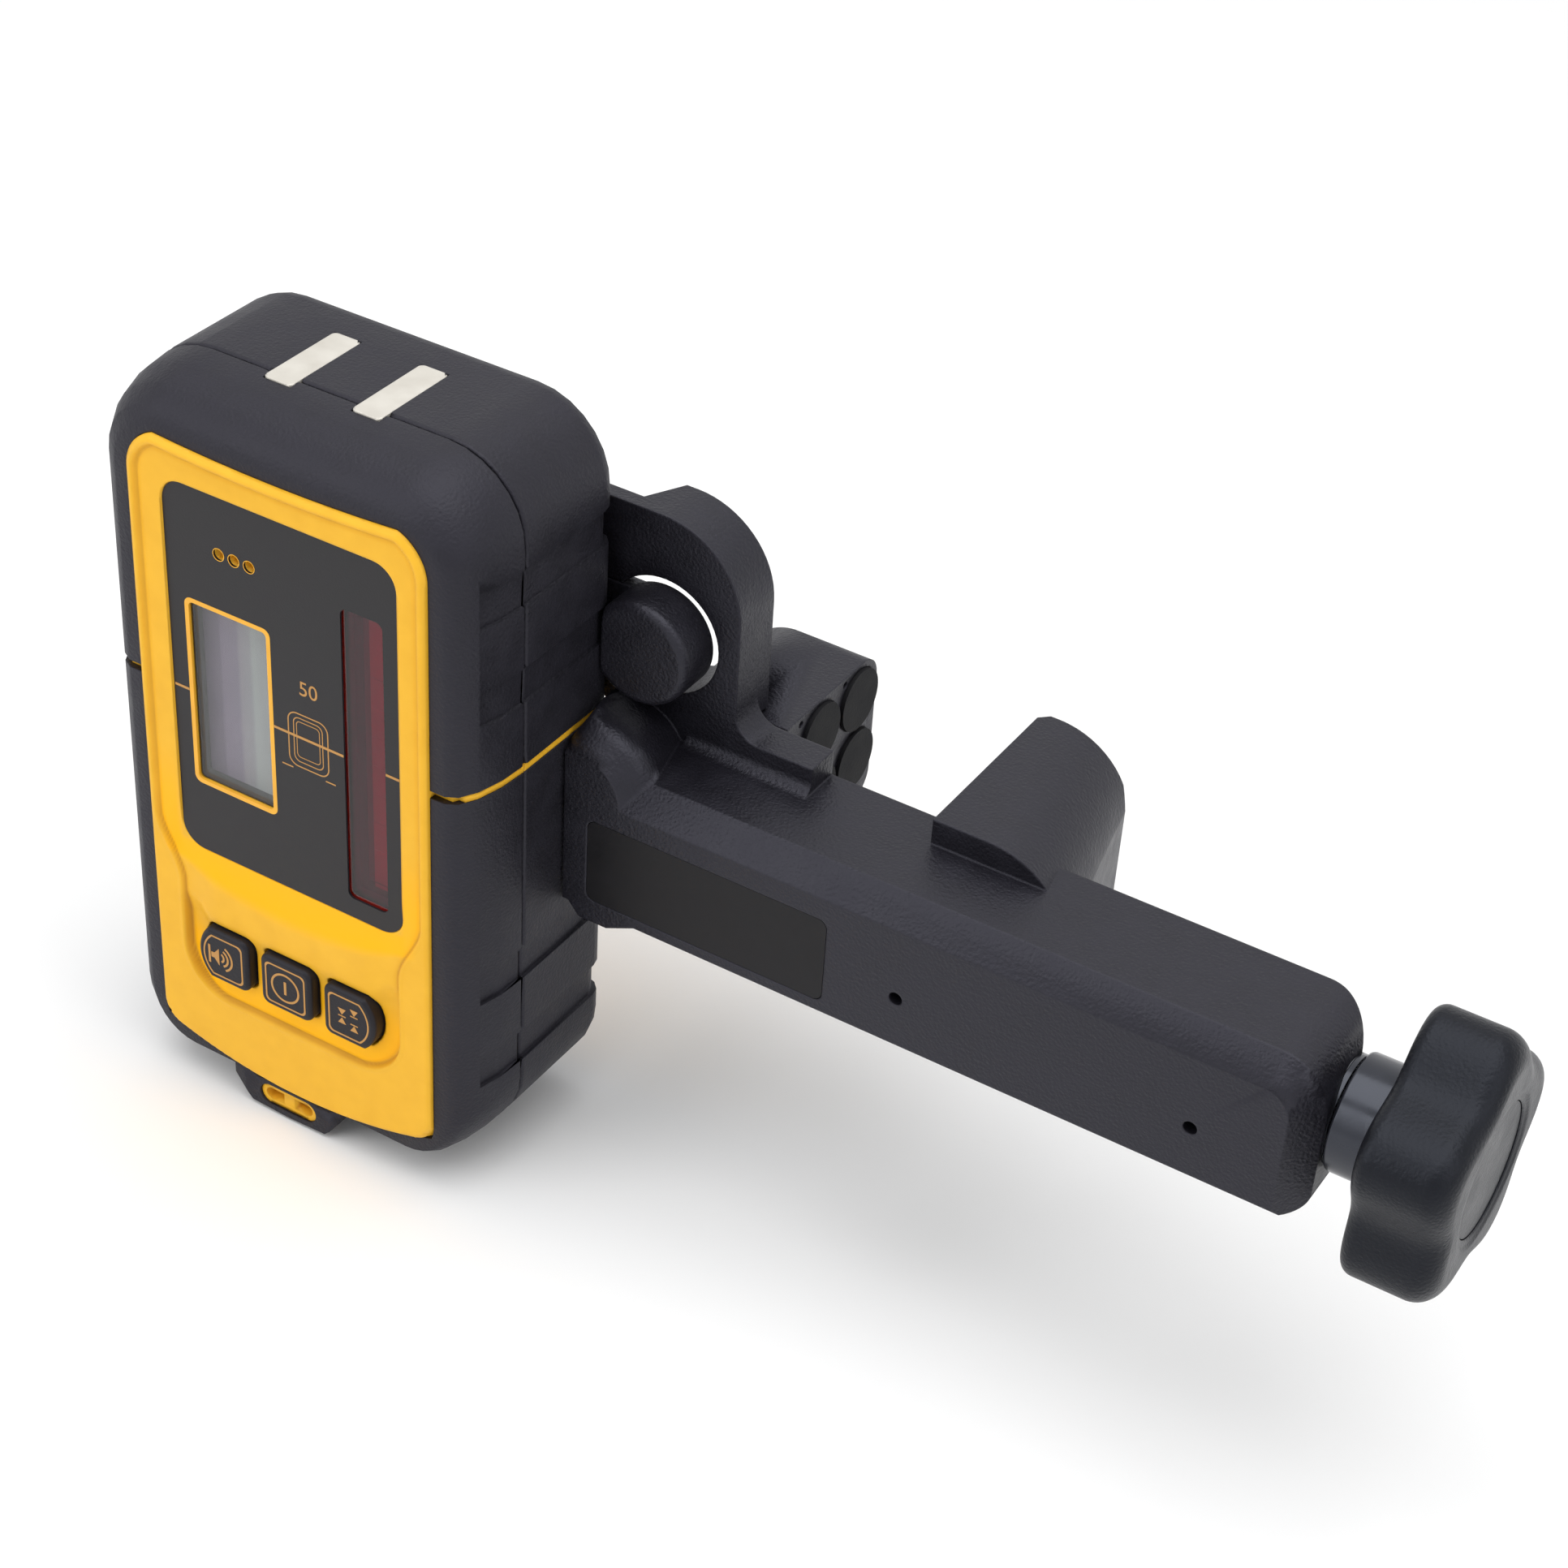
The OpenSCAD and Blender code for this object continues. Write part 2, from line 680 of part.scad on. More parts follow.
module front_housing() color("gold") difference() {
    union() {
        difference() {
            union() {
                intersection() {
                    housing_form(grip_t);
                    front_side();
                }
                along_y(-bezel_proud, shell_in) bezel_outline(0);
                intersection() {
                    housing_form(0.15);
                    block([-far, 2, -grade_line_h / 2], [far, seam_y - seat_gap, grade_line_h / 2]);
                }
            }
            intersection() {
                housing_form(shell_in);
                block([-far, -eps, -far], [far, seam_y + eps, far]);
            }
            magnet_bars(bond_gap, bond_gap);
        }
        for (s = [-1, 1], z = [post_top_z, -post_low_z])
            y_rod(s * post_x, shell_in - eps, board_y - bond_gap, z, post_d);
        for (p = shell_screw_at) y_rod(p[0], shell_in - eps, seam_y - seat_gap, p[1], shell_boss_d);
        along_y(lug_y0 + lug_set, lug_y0 + lug_t - lug_set) lug_slot(lug_frame);
        along_y(lug_y0 + lug_t / 2, lug_y0 + lug_t - lug_set) lug_stalk();
    }
    along_y(-far, swoop_y) swoop_outline();
    along_y(-far, label_floor)
        round_pane(label_x, label_z, label_w + 2 * seat_gap, label_h + 2 * seat_gap, label_r);
    window_hole(-display_x, display_w, display_h);
    window_hole(sensor_x, sensor_w, sensor_h);
    for (x = sound_hole_at) y_rod(x, -eps, shell_in + eps, sound_hole_z, sound_hole_d);
    for (side = [-1 : 1]) along_y(-far, shell_in + eps) button_outline(side, run_gap);
    for (p = shell_screw_at) y_rod(p[0], screw_tip_y - seat_gap, far, p[1], shell_screw_d + 2 * pin_gap);
    lug_holes();
}

// Sunk bands round both sides, to one depth below the form
module side_bands() difference() {
    for (z = band_z, s = [-1, 1])
        block([s > 0 ? half_w - band_wrap : -far, band_front, z - band_h / 2],
            [s > 0 ? far : -half_w + band_wrap, far, z + band_h / 2]);
    housing_form(band_depth);
}

module grip_shell() difference() {
    housing_form(0);
    side_bands();
    housing_form(grip_t - bond_gap);
    along_y(-far, seam_y / 2) bezel_outline(bond_gap);
    along_y(rear_y - rear_round - 1, far) back_panel_outline(bond_gap);
    block([-far, -far, -grade_line_h / 2 - bond_gap], [far, far, grade_line_h / 2 + bond_gap]);
    magnet_bars(bond_gap, bond_gap);
}

// Half of the space above or below the on-grade line
module level_side(up) block([-far, -far, up ? 0 : -far], [far, far, up ? far : 0]);

module front_grip_upper() color("#232326") intersection() {
    grip_shell();
    front_side();
    level_side(true);
}

module front_grip_lower() color("#232326") difference() {
    union() {
        intersection() {
            grip_shell();
            front_side();
            level_side(false);
        }
        difference() {
            along_y(lug_y0, lug_y0 + lug_t) lug_outline();
            housing_form(grip_t - bond_gap);
            along_y(-far, seam_y / 2) bezel_outline(bond_gap);
        }
    }
    along_y(lug_y0 - eps, lug_y0 + lug_t + eps) lug_slot(lug_frame + bond_gap);
    along_y(lug_y0 + lug_t / 2 - bond_gap, lug_y0 + lug_t + eps) lug_stalk_gap();
}

module rear_housing() color("gold") difference() {
    union() {
        difference() {
            union() {
                intersection() {
                    housing_form(grip_t);
                    back_side();
                }
                along_y(rear_y - shell_in, rear_y) back_panel_outline(0);
                intersection() {
                    housing_form(0.15);
                    block([-far, seam_y + seat_gap, -grade_line_h / 2],
                        [far, rear_y - rear_round, grade_line_h / 2]);
                }
            }
            intersection() {
                housing_form(shell_in);
                block([-far, seam_y - eps, -far], [far, rear_y - shell_in, far]);
            }
            magnet_bars(bond_gap, bond_gap);
            along_y(seam_y, seam_y + gasket_t + bond_gap) difference() {
                seam_outline(grip_t + gasket_in - bond_gap);
                seam_outline(grip_t + gasket_in + gasket_w + bond_gap);
            }
        }
        for (p = shell_screw_at) y_rod(p[0], seam_y + seat_gap, bay_back_y, p[1], shell_boss_d);
        for (s = [0, 1]) mirror([s, 0, 0]) {
            block([bay_half_w, battery_y0, bay_floor_z],
                [bay_half_w + bay_wall, bay_back_y, bay_top_z + bay_wall]);
            block([bay_half_w, battery_y1 - bay_ledge_t, bay_floor_z - bay_wall],
                [bay_ledge_half_w, bay_back_y, bay_top_z + bay_wall]);
        }
        for (z = [bay_floor_z - bay_wall, bay_top_z])
            block([-bay_half_w - bay_wall, battery_y0, z],
                [bay_half_w + bay_wall, bay_back_y, z + bay_wall]);
        block([rail_left, rear_y - eps, rail_z - rail_h / 2 + rail_web_in],
            [rail_left + rail_l, rear_y + rail_undercut, rail_z + rail_h / 2 - rail_web_in]);
        block([rail_left, rear_y + rail_undercut, rail_z - rail_h / 2],
            [rail_left + rail_l, rail_y1, rail_z + rail_h / 2]);
    }
    along_y(rear_y - door_t - eps, far) door_outline(run_gap);
    x_rod(-door_knuckle_w / 2 - run_gap, door_knuckle_w / 2 + run_gap, door_pin_y, door_pin_z,
        door_knuckle_d + 2 * run_gap);
    block([-door_knuckle_w / 2 - run_gap, door_pin_y - 1, door_pin_z - door_knuckle_d / 2 - run_gap],
        [door_knuckle_w / 2 + run_gap, far, door_low_z]);
    door_pin_hole();
    y_rod(latch_nose_x, rail_y1 - latch_bite - latch_socket_spare, far, rail_z, latch_socket_d);
    for (p = shell_screw_at) {
        y_rod(p[0], seam_y - eps, far, p[1], shell_screw_d + shell_screw_spare);
        y_rod(p[0], rear_y - shell_screw_head_h - shell_screw_spare, far, p[1],
            shell_screw_head_d + shell_screw_spare);
    }
}

// Outline of the battery door
module door_outline(grow) round_rect([-door_half_w - grow, door_low_z - grow],
    [door_half_w + grow, door_top_z + grow], door_r);

// Hole for the door's pin, through the knuckle and the shell on both sides of it
module door_pin_hole() x_rod(-door_half_w, door_half_w, door_pin_y, door_pin_z, door_pin_d + 2 * pin_gap);

module rear_grip_upper() color("#232326") intersection() {
    grip_shell();
    back_side();
    level_side(true);
}

module rear_grip_lower() color("#232326") intersection() {
    grip_shell();
    back_side();
    level_side(false);
}

module label_overlay() color("#1b1b1d") along_y(bond_gap, label_t) difference() {
    round_pane(label_x, label_z, label_w, label_h, label_r);
    round_pane(-display_x, 0, display_w, display_h, window_r);
    round_pane(sensor_x, 0, sensor_w, sensor_h, window_r);
    for (x = sound_hole_at) translate([x, sound_hole_z]) circle(d = sound_hole_d);
}

module display_window() color("lightgrey", 0.4) along_y(label_floor, label_floor + pane_t)
    round_pane(-display_x, 0, display_w + 2 * pane_lip, display_h + 2 * pane_lip, window_r);

module sensor_window() color("#6b1220", 0.7) along_y(label_floor, label_floor + pane_t)
    round_pane(sensor_x, 0, sensor_w + 2 * pane_lip, sensor_h + 2 * pane_lip, window_r);

module lcd_module() color("#9aa39c")
    block([-display_x - display_w / 2 - lcd_rim, lcd_front, -display_h / 2 - lcd_rim],
        [-display_x + display_w / 2 + lcd_rim, board_y - seat_gap, display_h / 2 + lcd_rim]);

module photodiode_strip() color("#30343a") {
    block([sensor_x - sensor_w / 2, diode_board_y, -sensor_h / 2],
        [sensor_x + sensor_w / 2, diode_board_y + diode_board_t, sensor_h / 2]);
    step = sensor_h / diode_count;
    for (i = [0 : diode_count - 1]) {
        z = -sensor_h / 2 + (i + 0.5) * step;
        block([sensor_x - diode_w / 2, diode_y, z - diode_h / 2],
            [sensor_x + diode_w / 2, diode_board_y, z + diode_h / 2]);
    }
    block([sensor_x - diode_w / 2, diode_board_y, -sensor_h / 4],
        [sensor_x + diode_w / 2, board_y - seat_gap, sensor_h / 4]);
}

module main_board() color("seagreen") along_y(board_y, board_y + board_t)
    round_rect([-board_half_w, -board_low], [board_half_w, board_top], board_r);

module buzzer() color("#222222") difference() {
    y_rod(-sound_hole_x, shell_in + seat_gap, board_y - seat_gap, sound_hole_z, buzzer_d);
    y_rod(-sound_hole_x, shell_in, shell_in + buzzer_port_h, sound_hole_z, buzzer_port_d);
}

module keypad_mat() color("#3a3a3d") along_y(mat_y, board_y - seat_gap)
    round_pane(0, -button_z, 2 * (button_pitch + mat_margin) + button_size, button_size + 2 * mat_margin,
        mat_r);

module button_key(side) color("#1a1a1c") {
    along_y(-bezel_proud - button_proud, shell_in + seat_gap) button_outline(side, 0);
    along_y(shell_in + seat_gap, shell_in + seat_gap + key_flange_t) button_outline(side, key_flange);
}

module sound_button() button_key(-1);
module power_button() button_key(0);
module range_button() button_key(1);

module top_magnets() color("silver") for (s = [-1, 1])
    block([s * magnet_x - magnet_w / 2, magnet_y0, top_h - magnet_t],
        [s * magnet_x + magnet_w / 2, magnet_y0 + magnet_l, top_h]);

module seam_gasket() color("#404044")
    along_y(seam_y - seat_gap + bond_gap, seam_y + gasket_t) difference() {
        seam_outline(grip_t + gasket_in);
        seam_outline(grip_t + gasket_in + gasket_w);
    }

module housing_screws() color("silver") for (p = shell_screw_at) {
    head_y = rear_y - shell_screw_sink;
    difference() {
        union() {
            y_rod(p[0], head_y - shell_screw_head_h, head_y, p[1], shell_screw_head_d);
            y_rod(p[0], screw_tip_y, head_y - eps, p[1], shell_screw_d);
        }
        translate([p[0], head_y - shell_screw_socket_h, p[1]]) rotate([-90, 0, 0])
            cylinder(h = far, d = shell_screw_socket_d, $fn = 6);
    }
}

module battery_door() color("gold") difference() {
    union() {
        along_y(rear_y - door_t, rear_y) door_outline(0);
        x_rod(-door_knuckle_w / 2, door_knuckle_w / 2, door_pin_y, door_pin_z, door_knuckle_d);
        block([-door_knuckle_w / 2, door_pin_y - 1, door_pin_z],
            [door_knuckle_w / 2, rear_y, door_low_z + eps]);
    }
    door_pin_hole();
    for (s = [0, 1]) mirror([s, 0, 0])
        x_rod(door_knuckle_w / 2, door_half_w + eps, door_pin_y, door_pin_z, 2 * door_clear_r);
    for (i = [2 : door_grooves + 1])
        x_rod(-door_groove_l / 2, door_groove_l / 2, rear_y, door_top_z - i * door_groove_pitch,
            door_groove_d);
}

module battery_door_pin() color("silver")
    x_rod(-door_half_w + 1, door_half_w - 1, door_pin_y, door_pin_z, door_pin_d);

battery_mid_y = (battery_y0 + battery_y1) / 2;

module battery() color("#55606b") {
    translate([0, 0, -battery_low]) linear_extrude(battery_h)
        round_rect([-battery_w / 2, battery_y0], [battery_w / 2, battery_y1], battery_r);
    for (s = [-1, 1]) translate([s * terminal_x, battery_mid_y, -battery_low + battery_h - eps])
        cylinder(h = terminal_h + eps, d = terminal_d);
}

module battery_contacts() color("#8a7a50") difference() {
    block([-battery_w / 2 + 1, battery_y0 + 2, contact_low_z],
        [battery_w / 2 - 1, battery_y1 - 2, contact_low_z + contact_t]);
    for (s = [-1, 1]) translate([s * terminal_x, battery_mid_y, contact_low_z - eps])
        cylinder(h = terminal_h + eps, d = terminal_d + 2 * seat_gap);
}

// Outline of the plate beside and behind the receiver
module plate_outline() {
    r = plate_corner_r;
    translate([plate_left, plate_low]) square([plate_right - r - plate_left, plate_top - plate_low]);
    translate([plate_left, plate_low]) square([plate_right - plate_left, plate_top - r - plate_low]);
    translate([plate_right - r, plate_top - r]) circle(r);
}

// Foot of a standing wall: a square strip with a round hollow
module hollow_fillet(r) difference() {
    translate([-eps, -eps]) square(r + eps);
    translate([r, r]) circle(r);
}

// Fillet along the arm's top at the foot of the plate, the ledge or the fixed jaw
module wall_fillet(x0, x1) along_x(x0, x1) translate([plate_y, arm_top_z]) mirror([1, 0])
    hollow_fillet(fillet_r);

// Section of the arm, as Y and Z
module arm_section() polygon([[arm_y + 1, arm_low_z], [arm_y, arm_low_z + 1],
    [arm_y, arm_top_z - arm_bevel], [arm_y + arm_bevel, arm_top_z],
    [arm_back, arm_top_z], [arm_back, arm_low_z]]);

// Plan of the arm, as X and Y
module arm_plan() difference() {
    union() {
        translate([arm_left, arm_y]) square([arm_right - arm_left - arm_end_r, arm_d]);
        translate([arm_left, arm_y]) square([arm_right - arm_left, arm_d - arm_end_r]);
        translate([arm_right - arm_end_r, arm_back - arm_end_r]) circle(arm_end_r);
    }
    translate([arm_right, arm_y]) polygon([[-arm_bevel - eps, -eps], [eps, -eps], [eps, arm_bevel + eps]]);
}

// Front view of the arm, rounded at its lower right corner, as X and Z
module arm_front() {
    translate([arm_left, arm_low_z]) square([arm_l - arm_foot_r, arm_h]);
    translate([arm_left, arm_low_z + arm_foot_r]) square([arm_l, arm_h - arm_foot_r]);
    translate([arm_right - arm_foot_r, arm_low_z + arm_foot_r]) circle(arm_foot_r);
}

// Space of the arm's upper right corner
module corner_space() block([arm_right - arm_corner_r, arm_y - eps, arm_top_z - arm_corner_r],
    [arm_right + eps, arm_back + eps, arm_top_z + eps]);

// Arm as a bar: the bevel goes round the upper right corner and down the end
module arm_bar() intersection() {
    union() {
        difference() {
            along_x(arm_left, arm_right) arm_section();
            corner_space();
        }
        intersection() {
            translate([arm_right - arm_corner_r, arm_y, arm_top_z - arm_corner_r]) rotate([-90, 0, 0]) {
                cylinder(h = arm_bevel, r1 = arm_corner_r - arm_bevel, r2 = arm_corner_r);
                translate([0, 0, arm_bevel]) cylinder(h = arm_d - arm_bevel, r = arm_corner_r);
            }
            corner_space();
        }
    }
    translate([0, 0, -far]) linear_extrude(2 * far) arm_plan();
    along_y(arm_y - eps, arm_back + eps) arm_front();
}

// Flared left end of the arm: a bevelled round shoulder that falls away to the plate, and a lip below
module flare() {
    intersection() {
        translate([flare_x, arm_y, flare_z]) rotate([-90, 0, 0]) {
            cylinder(h = arm_bevel, r1 = flare_r - arm_bevel, r2 = flare_r);
            translate([0, 0, arm_bevel])
                cylinder(h = arm_to_plate - arm_bevel + 1, r1 = flare_r, r2 = flare_r - flare_fall);
        }
        along_y(arm_y, plate_y + 1)
            round_rect([arm_left, flare_z - flare_r], [flare_x + flare_r, flare_z + flare_r], flare_edge_r);
    }
    along_y(arm_y, arm_back) polygon([[arm_left + flare_lip_in, arm_low_z + flare_lip_in],
        [arm_left + flare_lip_start, arm_low_z - flare_drop],
        [arm_left + flare_lip_end, arm_low_z - flare_drop],
        [arm_left + flare_l, arm_low_z + flare_lip_in]]);
}

// Section of the fixed jaw, with its outer side at zero: flat on top, then a long round shoulder
module jaw_section() {
    r = jaw_shoulder_r;
    translate([-2 * fixed_jaw_w, jaw_low]) square([2 * fixed_jaw_w - r, jaw_h]);
    translate([-r - eps, jaw_low]) square([r + eps, jaw_h - r]);
    translate([-r, deck_z - r]) circle(r, $fn = 96);
}

// Fixed jaw: the shoulder follows the tapered outer side
module fixed_jaw() intersection() {
    translate([grip_x + fixed_jaw_w, plate_y, 0]) rotate([0, 0, jaw_taper_angle])
        along_y(-fixed_jaw_w, 2 * jaw_reach) jaw_section();
    translate([grip_x, 0, -far]) linear_extrude(2 * far) polygon([[0, plate_y], [fixed_jaw_w, plate_y],
        [fixed_jaw_w - jaw_taper, jaw_y1 - jaw_tip_r], [fixed_jaw_w - jaw_taper - jaw_tip_r, jaw_y1],
        [jaw_tip_r, jaw_y1], [0, jaw_y1 - jaw_tip_r]]);
}

// Fillet at the fixed jaw's foot, running out under its shoulder
module jaw_fillet() intersection() {
    wall_fillet(grip_x, jaw_meet_x);
    translate([grip_x + fixed_jaw_w, 0, 0]) along_y(arm_y, plate_y + eps) jaw_section();
}

module clamp_arm() color("#202023") difference() {
    union() {
        arm_bar();
        flare();
        along_y(plate_y, plate_y + plate_thin) plate_outline();
        intersection() {
            along_y(plate_y, plate_y + plate_thick) plate_outline();
            translate([0, 0, deck_z + 0.6]) linear_extrude(far) polygon([[thick_left, plate_y],
                [thick_left, plate_y + plate_thin], [thick_left + thick_ramp, plate_y + plate_thick],
                [far, plate_y + plate_thick], [far, plate_y]]);
        }
        block([arm_left + eps, plate_y, arm_top_z - eps], [plate_right, arm_back, deck_z + 1]);
        block([plate_right - eps, plate_y, arm_top_z - eps], [ledge_right, arm_back, deck_z]);
        along_y(plate_y, arm_back) translate([plate_right, deck_z]) hollow_fillet(2 * fillet_r);
        wall_fillet(arm_left + flare_l - 2, ledge_right);
        jaw_fillet();
        fixed_jaw();
        for (s = [-1, 1]) {
            lip_low = s > 0 ? rail_z + lip_z : rail_z - lip_z - lip_t;
            finger_low = s > 0 ? rail_z + lip_z - lip_in : rail_z - lip_z - eps;
            block([plate_left, rear_y + run_gap, lip_low],
                [lip_right, plate_y + plate_thin, lip_low + lip_t]);
            block([plate_left, rear_y + run_gap, finger_low],
                [rail_left + rail_l, rear_y + rail_undercut - run_gap, finger_low + lip_in + eps]);
            ear_low = s > 0 ? rail_z + tongue_half + run_gap : rail_z - tongue_half - run_gap - ear_h;
            block([-latch_pivot_x - ear_w / 2, plate_y, ear_low],
                [-latch_pivot_x + ear_w / 2, latch_y + knuckle_r, ear_low + ear_h]);
            leg_low = s > 0 ? rail_z + tongue_half + run_gap : rail_z - tongue_half - run_gap - bridge_leg;
            block([spring_x - bridge_w / 2, plate_y, leg_low],
                [spring_x + bridge_w / 2, bridge_y + bridge_t, leg_low + bridge_leg]);
        }
        block([spring_x - bridge_w / 2, bridge_y, rail_z - tongue_half - eps],
            [spring_x + bridge_w / 2, bridge_y + bridge_t, rail_z + tongue_half + eps]);
    }
    block([channel_left, channel_y, channel_low], [channel_right, slot_y, channel_top]);
    block([channel_left, slot_y - eps, channel_low + slot_in], [slot_right, far, channel_top - slot_in]);
    on_screw(channel_right - eps, arm_right + eps, bush_d + 2 * bond_gap);
    on_screw(flange_x, arm_right + eps, bush_flange_d + 2 * seat_gap);
    y_rod(pad_x, plate_y - eps, plate_y + plate_thick + eps, rail_z, pad_hole_d);
    block([-latch_pivot_x - knuckle_r - run_gap, plate_y - eps, rail_z - tongue_half - run_gap],
        [pad_x, plate_y + plate_thin + 0.01, rail_z + tongue_half + run_gap]);
    block([thick_left - eps, plate_y - eps, rail_z - tongue_half - run_gap],
        [pad_x, plate_y + plate_thick + eps, rail_z + tongue_half + run_gap]);
    translate([-latch_pivot_x, latch_y, rail_z - tongue_half - ear_h - eps])
        cylinder(h = 2 * tongue_half + 2 * ear_h + 2 * eps, d = latch_pin_d + 2 * pin_gap);
    along_y(arm_y - eps, arm_y + arm_label_t) arm_label_outline(0);
    for (x = pin_hole_at) y_rod(x, arm_y - eps, arm_y + pin_hole_depth, pin_hole_z, pin_hole_d);
}

// Outline of the label recess on the arm
module arm_label_outline(inset) round_rect([arm_label_x + inset, arm_label_z - arm_label_h / 2 + inset],
    [arm_label_x + arm_label_l - inset, arm_label_z + arm_label_h / 2 - inset], arm_label_r);

module arm_label() color("#18181a")
    along_y(arm_y + bond_gap, arm_y + arm_label_t - bond_gap) arm_label_outline(seat_gap);

// Half profile of the thumb pad, rounded at its face
module pad_profile() {
    h = pad_proud + pad_root;
    r = pad_d / 2;
    square([r - pad_round, h]);
    square([r, h - pad_round]);
    translate([r - pad_round, h - pad_round]) circle(pad_round);
}

module latch_lever() color("#1e1e21") difference() {
    union() {
        block([-latch_pivot_x, plate_y, rail_z - tongue_half],
            [pad_x, plate_y + plate_thin, rail_z + tongue_half]);
        translate([-latch_pivot_x, latch_y, rail_z - tongue_half])
            cylinder(h = 2 * tongue_half, r = knuckle_r);
        intersection() {
            translate([pad_x, plate_y + pad_root, rail_z]) rotate([90, 0, 0]) rotate_extrude() pad_profile();
            block([half_w + pad_side_gap, plate_y - pad_proud - eps, rail_z - pad_d],
                [pad_x + pad_d, plate_y + plate_thin, rail_z + pad_d]);
        }
        y_rod(latch_nose_x, rail_y1 - latch_bite, plate_y + eps, rail_z, latch_nose_d);
    }
    translate([-latch_pivot_x, latch_y, rail_z - tongue_half - eps])
        cylinder(h = 2 * tongue_half + 2 * eps, d = latch_pin_d + 2 * pin_gap);
}

module latch_pin() color("silver") translate([-latch_pivot_x, latch_y, rail_z - tongue_half - ear_h])
    cylinder(h = 2 * tongue_half + 2 * ear_h, d = latch_pin_d);

// Coil of round wire as one tube: rings along a helix about Y
spring_step = 8;
spring_rings = spring_step * spring_turns;
spring_sides = 6;
function spring_point(i, j) = let (
        a = 360 * spring_turns * i / spring_rings,
        b = 360 * j / spring_sides,
        r = (spring_d - spring_wire) / 2 + cos(b) * spring_wire / 2,
        y = spring_wire / 2 + (spring_l - spring_wire) * i / spring_rings + sin(b) * spring_wire / 2)
    [r * cos(a), y, r * sin(a)];
spring_gap = min([for (i = [0 : spring_rings - spring_step])
    for (j = [0 : spring_sides - 1], k = [0 : spring_sides - 1])
        norm(spring_point(i, j) - spring_point(i + spring_step, k))]);
echo("least gap between the spring's curls in mm", spring_gap);
module latch_spring() color("silver") translate([spring_x, plate_y + plate_thin + seat_gap, rail_z])
    polyhedron(
    points = [for (i = [0 : spring_rings], j = [0 : spring_sides - 1]) spring_point(i, j)],
    faces = concat(
        [for (i = [0 : spring_rings - 1], j = [0 : spring_sides - 1], half = [0, 1])
            let (a = i * spring_sides + j, b = i * spring_sides + (j + 1) % spring_sides)
            half == 0 ? [a, b, b + spring_sides] : [a, b + spring_sides, a + spring_sides]],
        [[for (j = [spring_sides - 1 : -1 : 0]) j]],
        [[for (j = [0 : spring_sides - 1]) spring_rings * spring_sides + j]]));

// Outline of the moving jaw: flat grip face on the right, long rounded shoulder on the left
module moving_jaw_outline() intersection() {
    translate([jaw_face_x - moving_jaw_w, jaw_low]) square([moving_jaw_w, jaw_h]);
    union() {
        translate([jaw_face_x - moving_jaw_w, jaw_low]) square([moving_jaw_w, jaw_h / 2]);
        translate([jaw_face_x - jaw_flat, jaw_low]) square([jaw_flat, jaw_h]);
        translate([jaw_face_x - jaw_flat, deck_z - jaw_fall_r]) circle(jaw_fall_r, $fn = 96);
    }
}

// Places of the four grip pads on the moving jaw's face
module pad_places() for (i = [0, 1], j = [0, 1])
    translate([jaw_face_x, pad_rear_y - i * pad_pitch, pad_top_z - j * pad_pitch]) rotate([0, 90, 0])
        children();

module moving_jaw() color("#202023") difference() {
    union() {
        intersection() {
            along_y(jaw_y, jaw_y1) moving_jaw_outline();
            along_x(jaw_face_x - far, jaw_face_x)
                round_rect([jaw_y - 2 * jaw_edge_r, jaw_low], [jaw_y1, deck_z], jaw_edge_r);
        }
        block([jaw_face_x - foot_l, foot_y, channel_low + slide_gap],
            [jaw_face_x, slot_y - slide_gap, channel_top - slide_gap]);
        block([jaw_face_x - foot_l, slot_y - slide_gap - eps, channel_low + slot_in + slide_gap],
            [jaw_face_x, jaw_y + eps, channel_top - slot_in - slide_gap]);
    }
    on_screw(jaw_face_x - foot_l - eps, jaw_face_x + eps, screw_d + 2 * run_gap);
    on_screw(nut_mid_x - nut_l / 2 - seat_gap, nut_mid_x + nut_l / 2 + seat_gap, nut_d + 2 * seat_gap);
    pad_places() translate([0, 0, -pad_sink]) cylinder(h = far, d = pad_disc_d + 2 * seat_gap);
    for (y = jaw_pip_at) x_rod(jaw_face_x - jaw_pip_h, jaw_face_x + eps, y, jaw_pip_z, jaw_pip_d);
}

module moving_jaw_pads() color("#151516") pad_places() translate([0, 0, bond_gap - pad_sink])
    cylinder(h = pad_disc_t - bond_gap, d = pad_disc_d);

module jaw_nut() color("#b08d57") difference() {
    on_screw(nut_mid_x - nut_l / 2, nut_mid_x + nut_l / 2, nut_d);
    on_screw(nut_mid_x - nut_l, nut_mid_x + nut_l, screw_d + 2 * pin_gap);
}

module clamp_screw() color("silver") on_screw(screw_left, knob_end_x - knob_bore_stop, screw_d);

module screw_bush() color("#d8d4c8") difference() {
    union() {
        on_screw(channel_right, flange_x + bush_flange_t, bush_d);
        on_screw(flange_x + bond_gap, flange_x + bush_flange_t, bush_flange_d);
    }
    on_screw(channel_right - eps, flange_x + bush_flange_t + eps, screw_d + 2 * pin_gap);
}

module thrust_washer() color("silver") difference() {
    on_screw(washer_x, washer_x + washer_t, bush_flange_d);
    on_screw(washer_x - eps, washer_x + washer_t + eps, screw_d + 2 * pin_gap);
}

module retaining_clip() color("silver") difference() {
    on_screw(channel_right - run_gap - clip_t, channel_right - run_gap, clip_d);
    on_screw(channel_right - far, channel_right + far, screw_d + 2 * pin_gap);
}

// Outline of the knob: lobes from a cosine
module knob_outline() {
    mid = knob_d / 2 - lobe_depth / 2;
    steps = lobes * lobe_points;
    polygon([for (i = [0 : steps - 1])
        let (a = 360 * i / steps, r = mid + lobe_depth / 2 * cos(lobes * (a - lobe_start)))
        [r * cos(a), r * sin(a)]]);
}

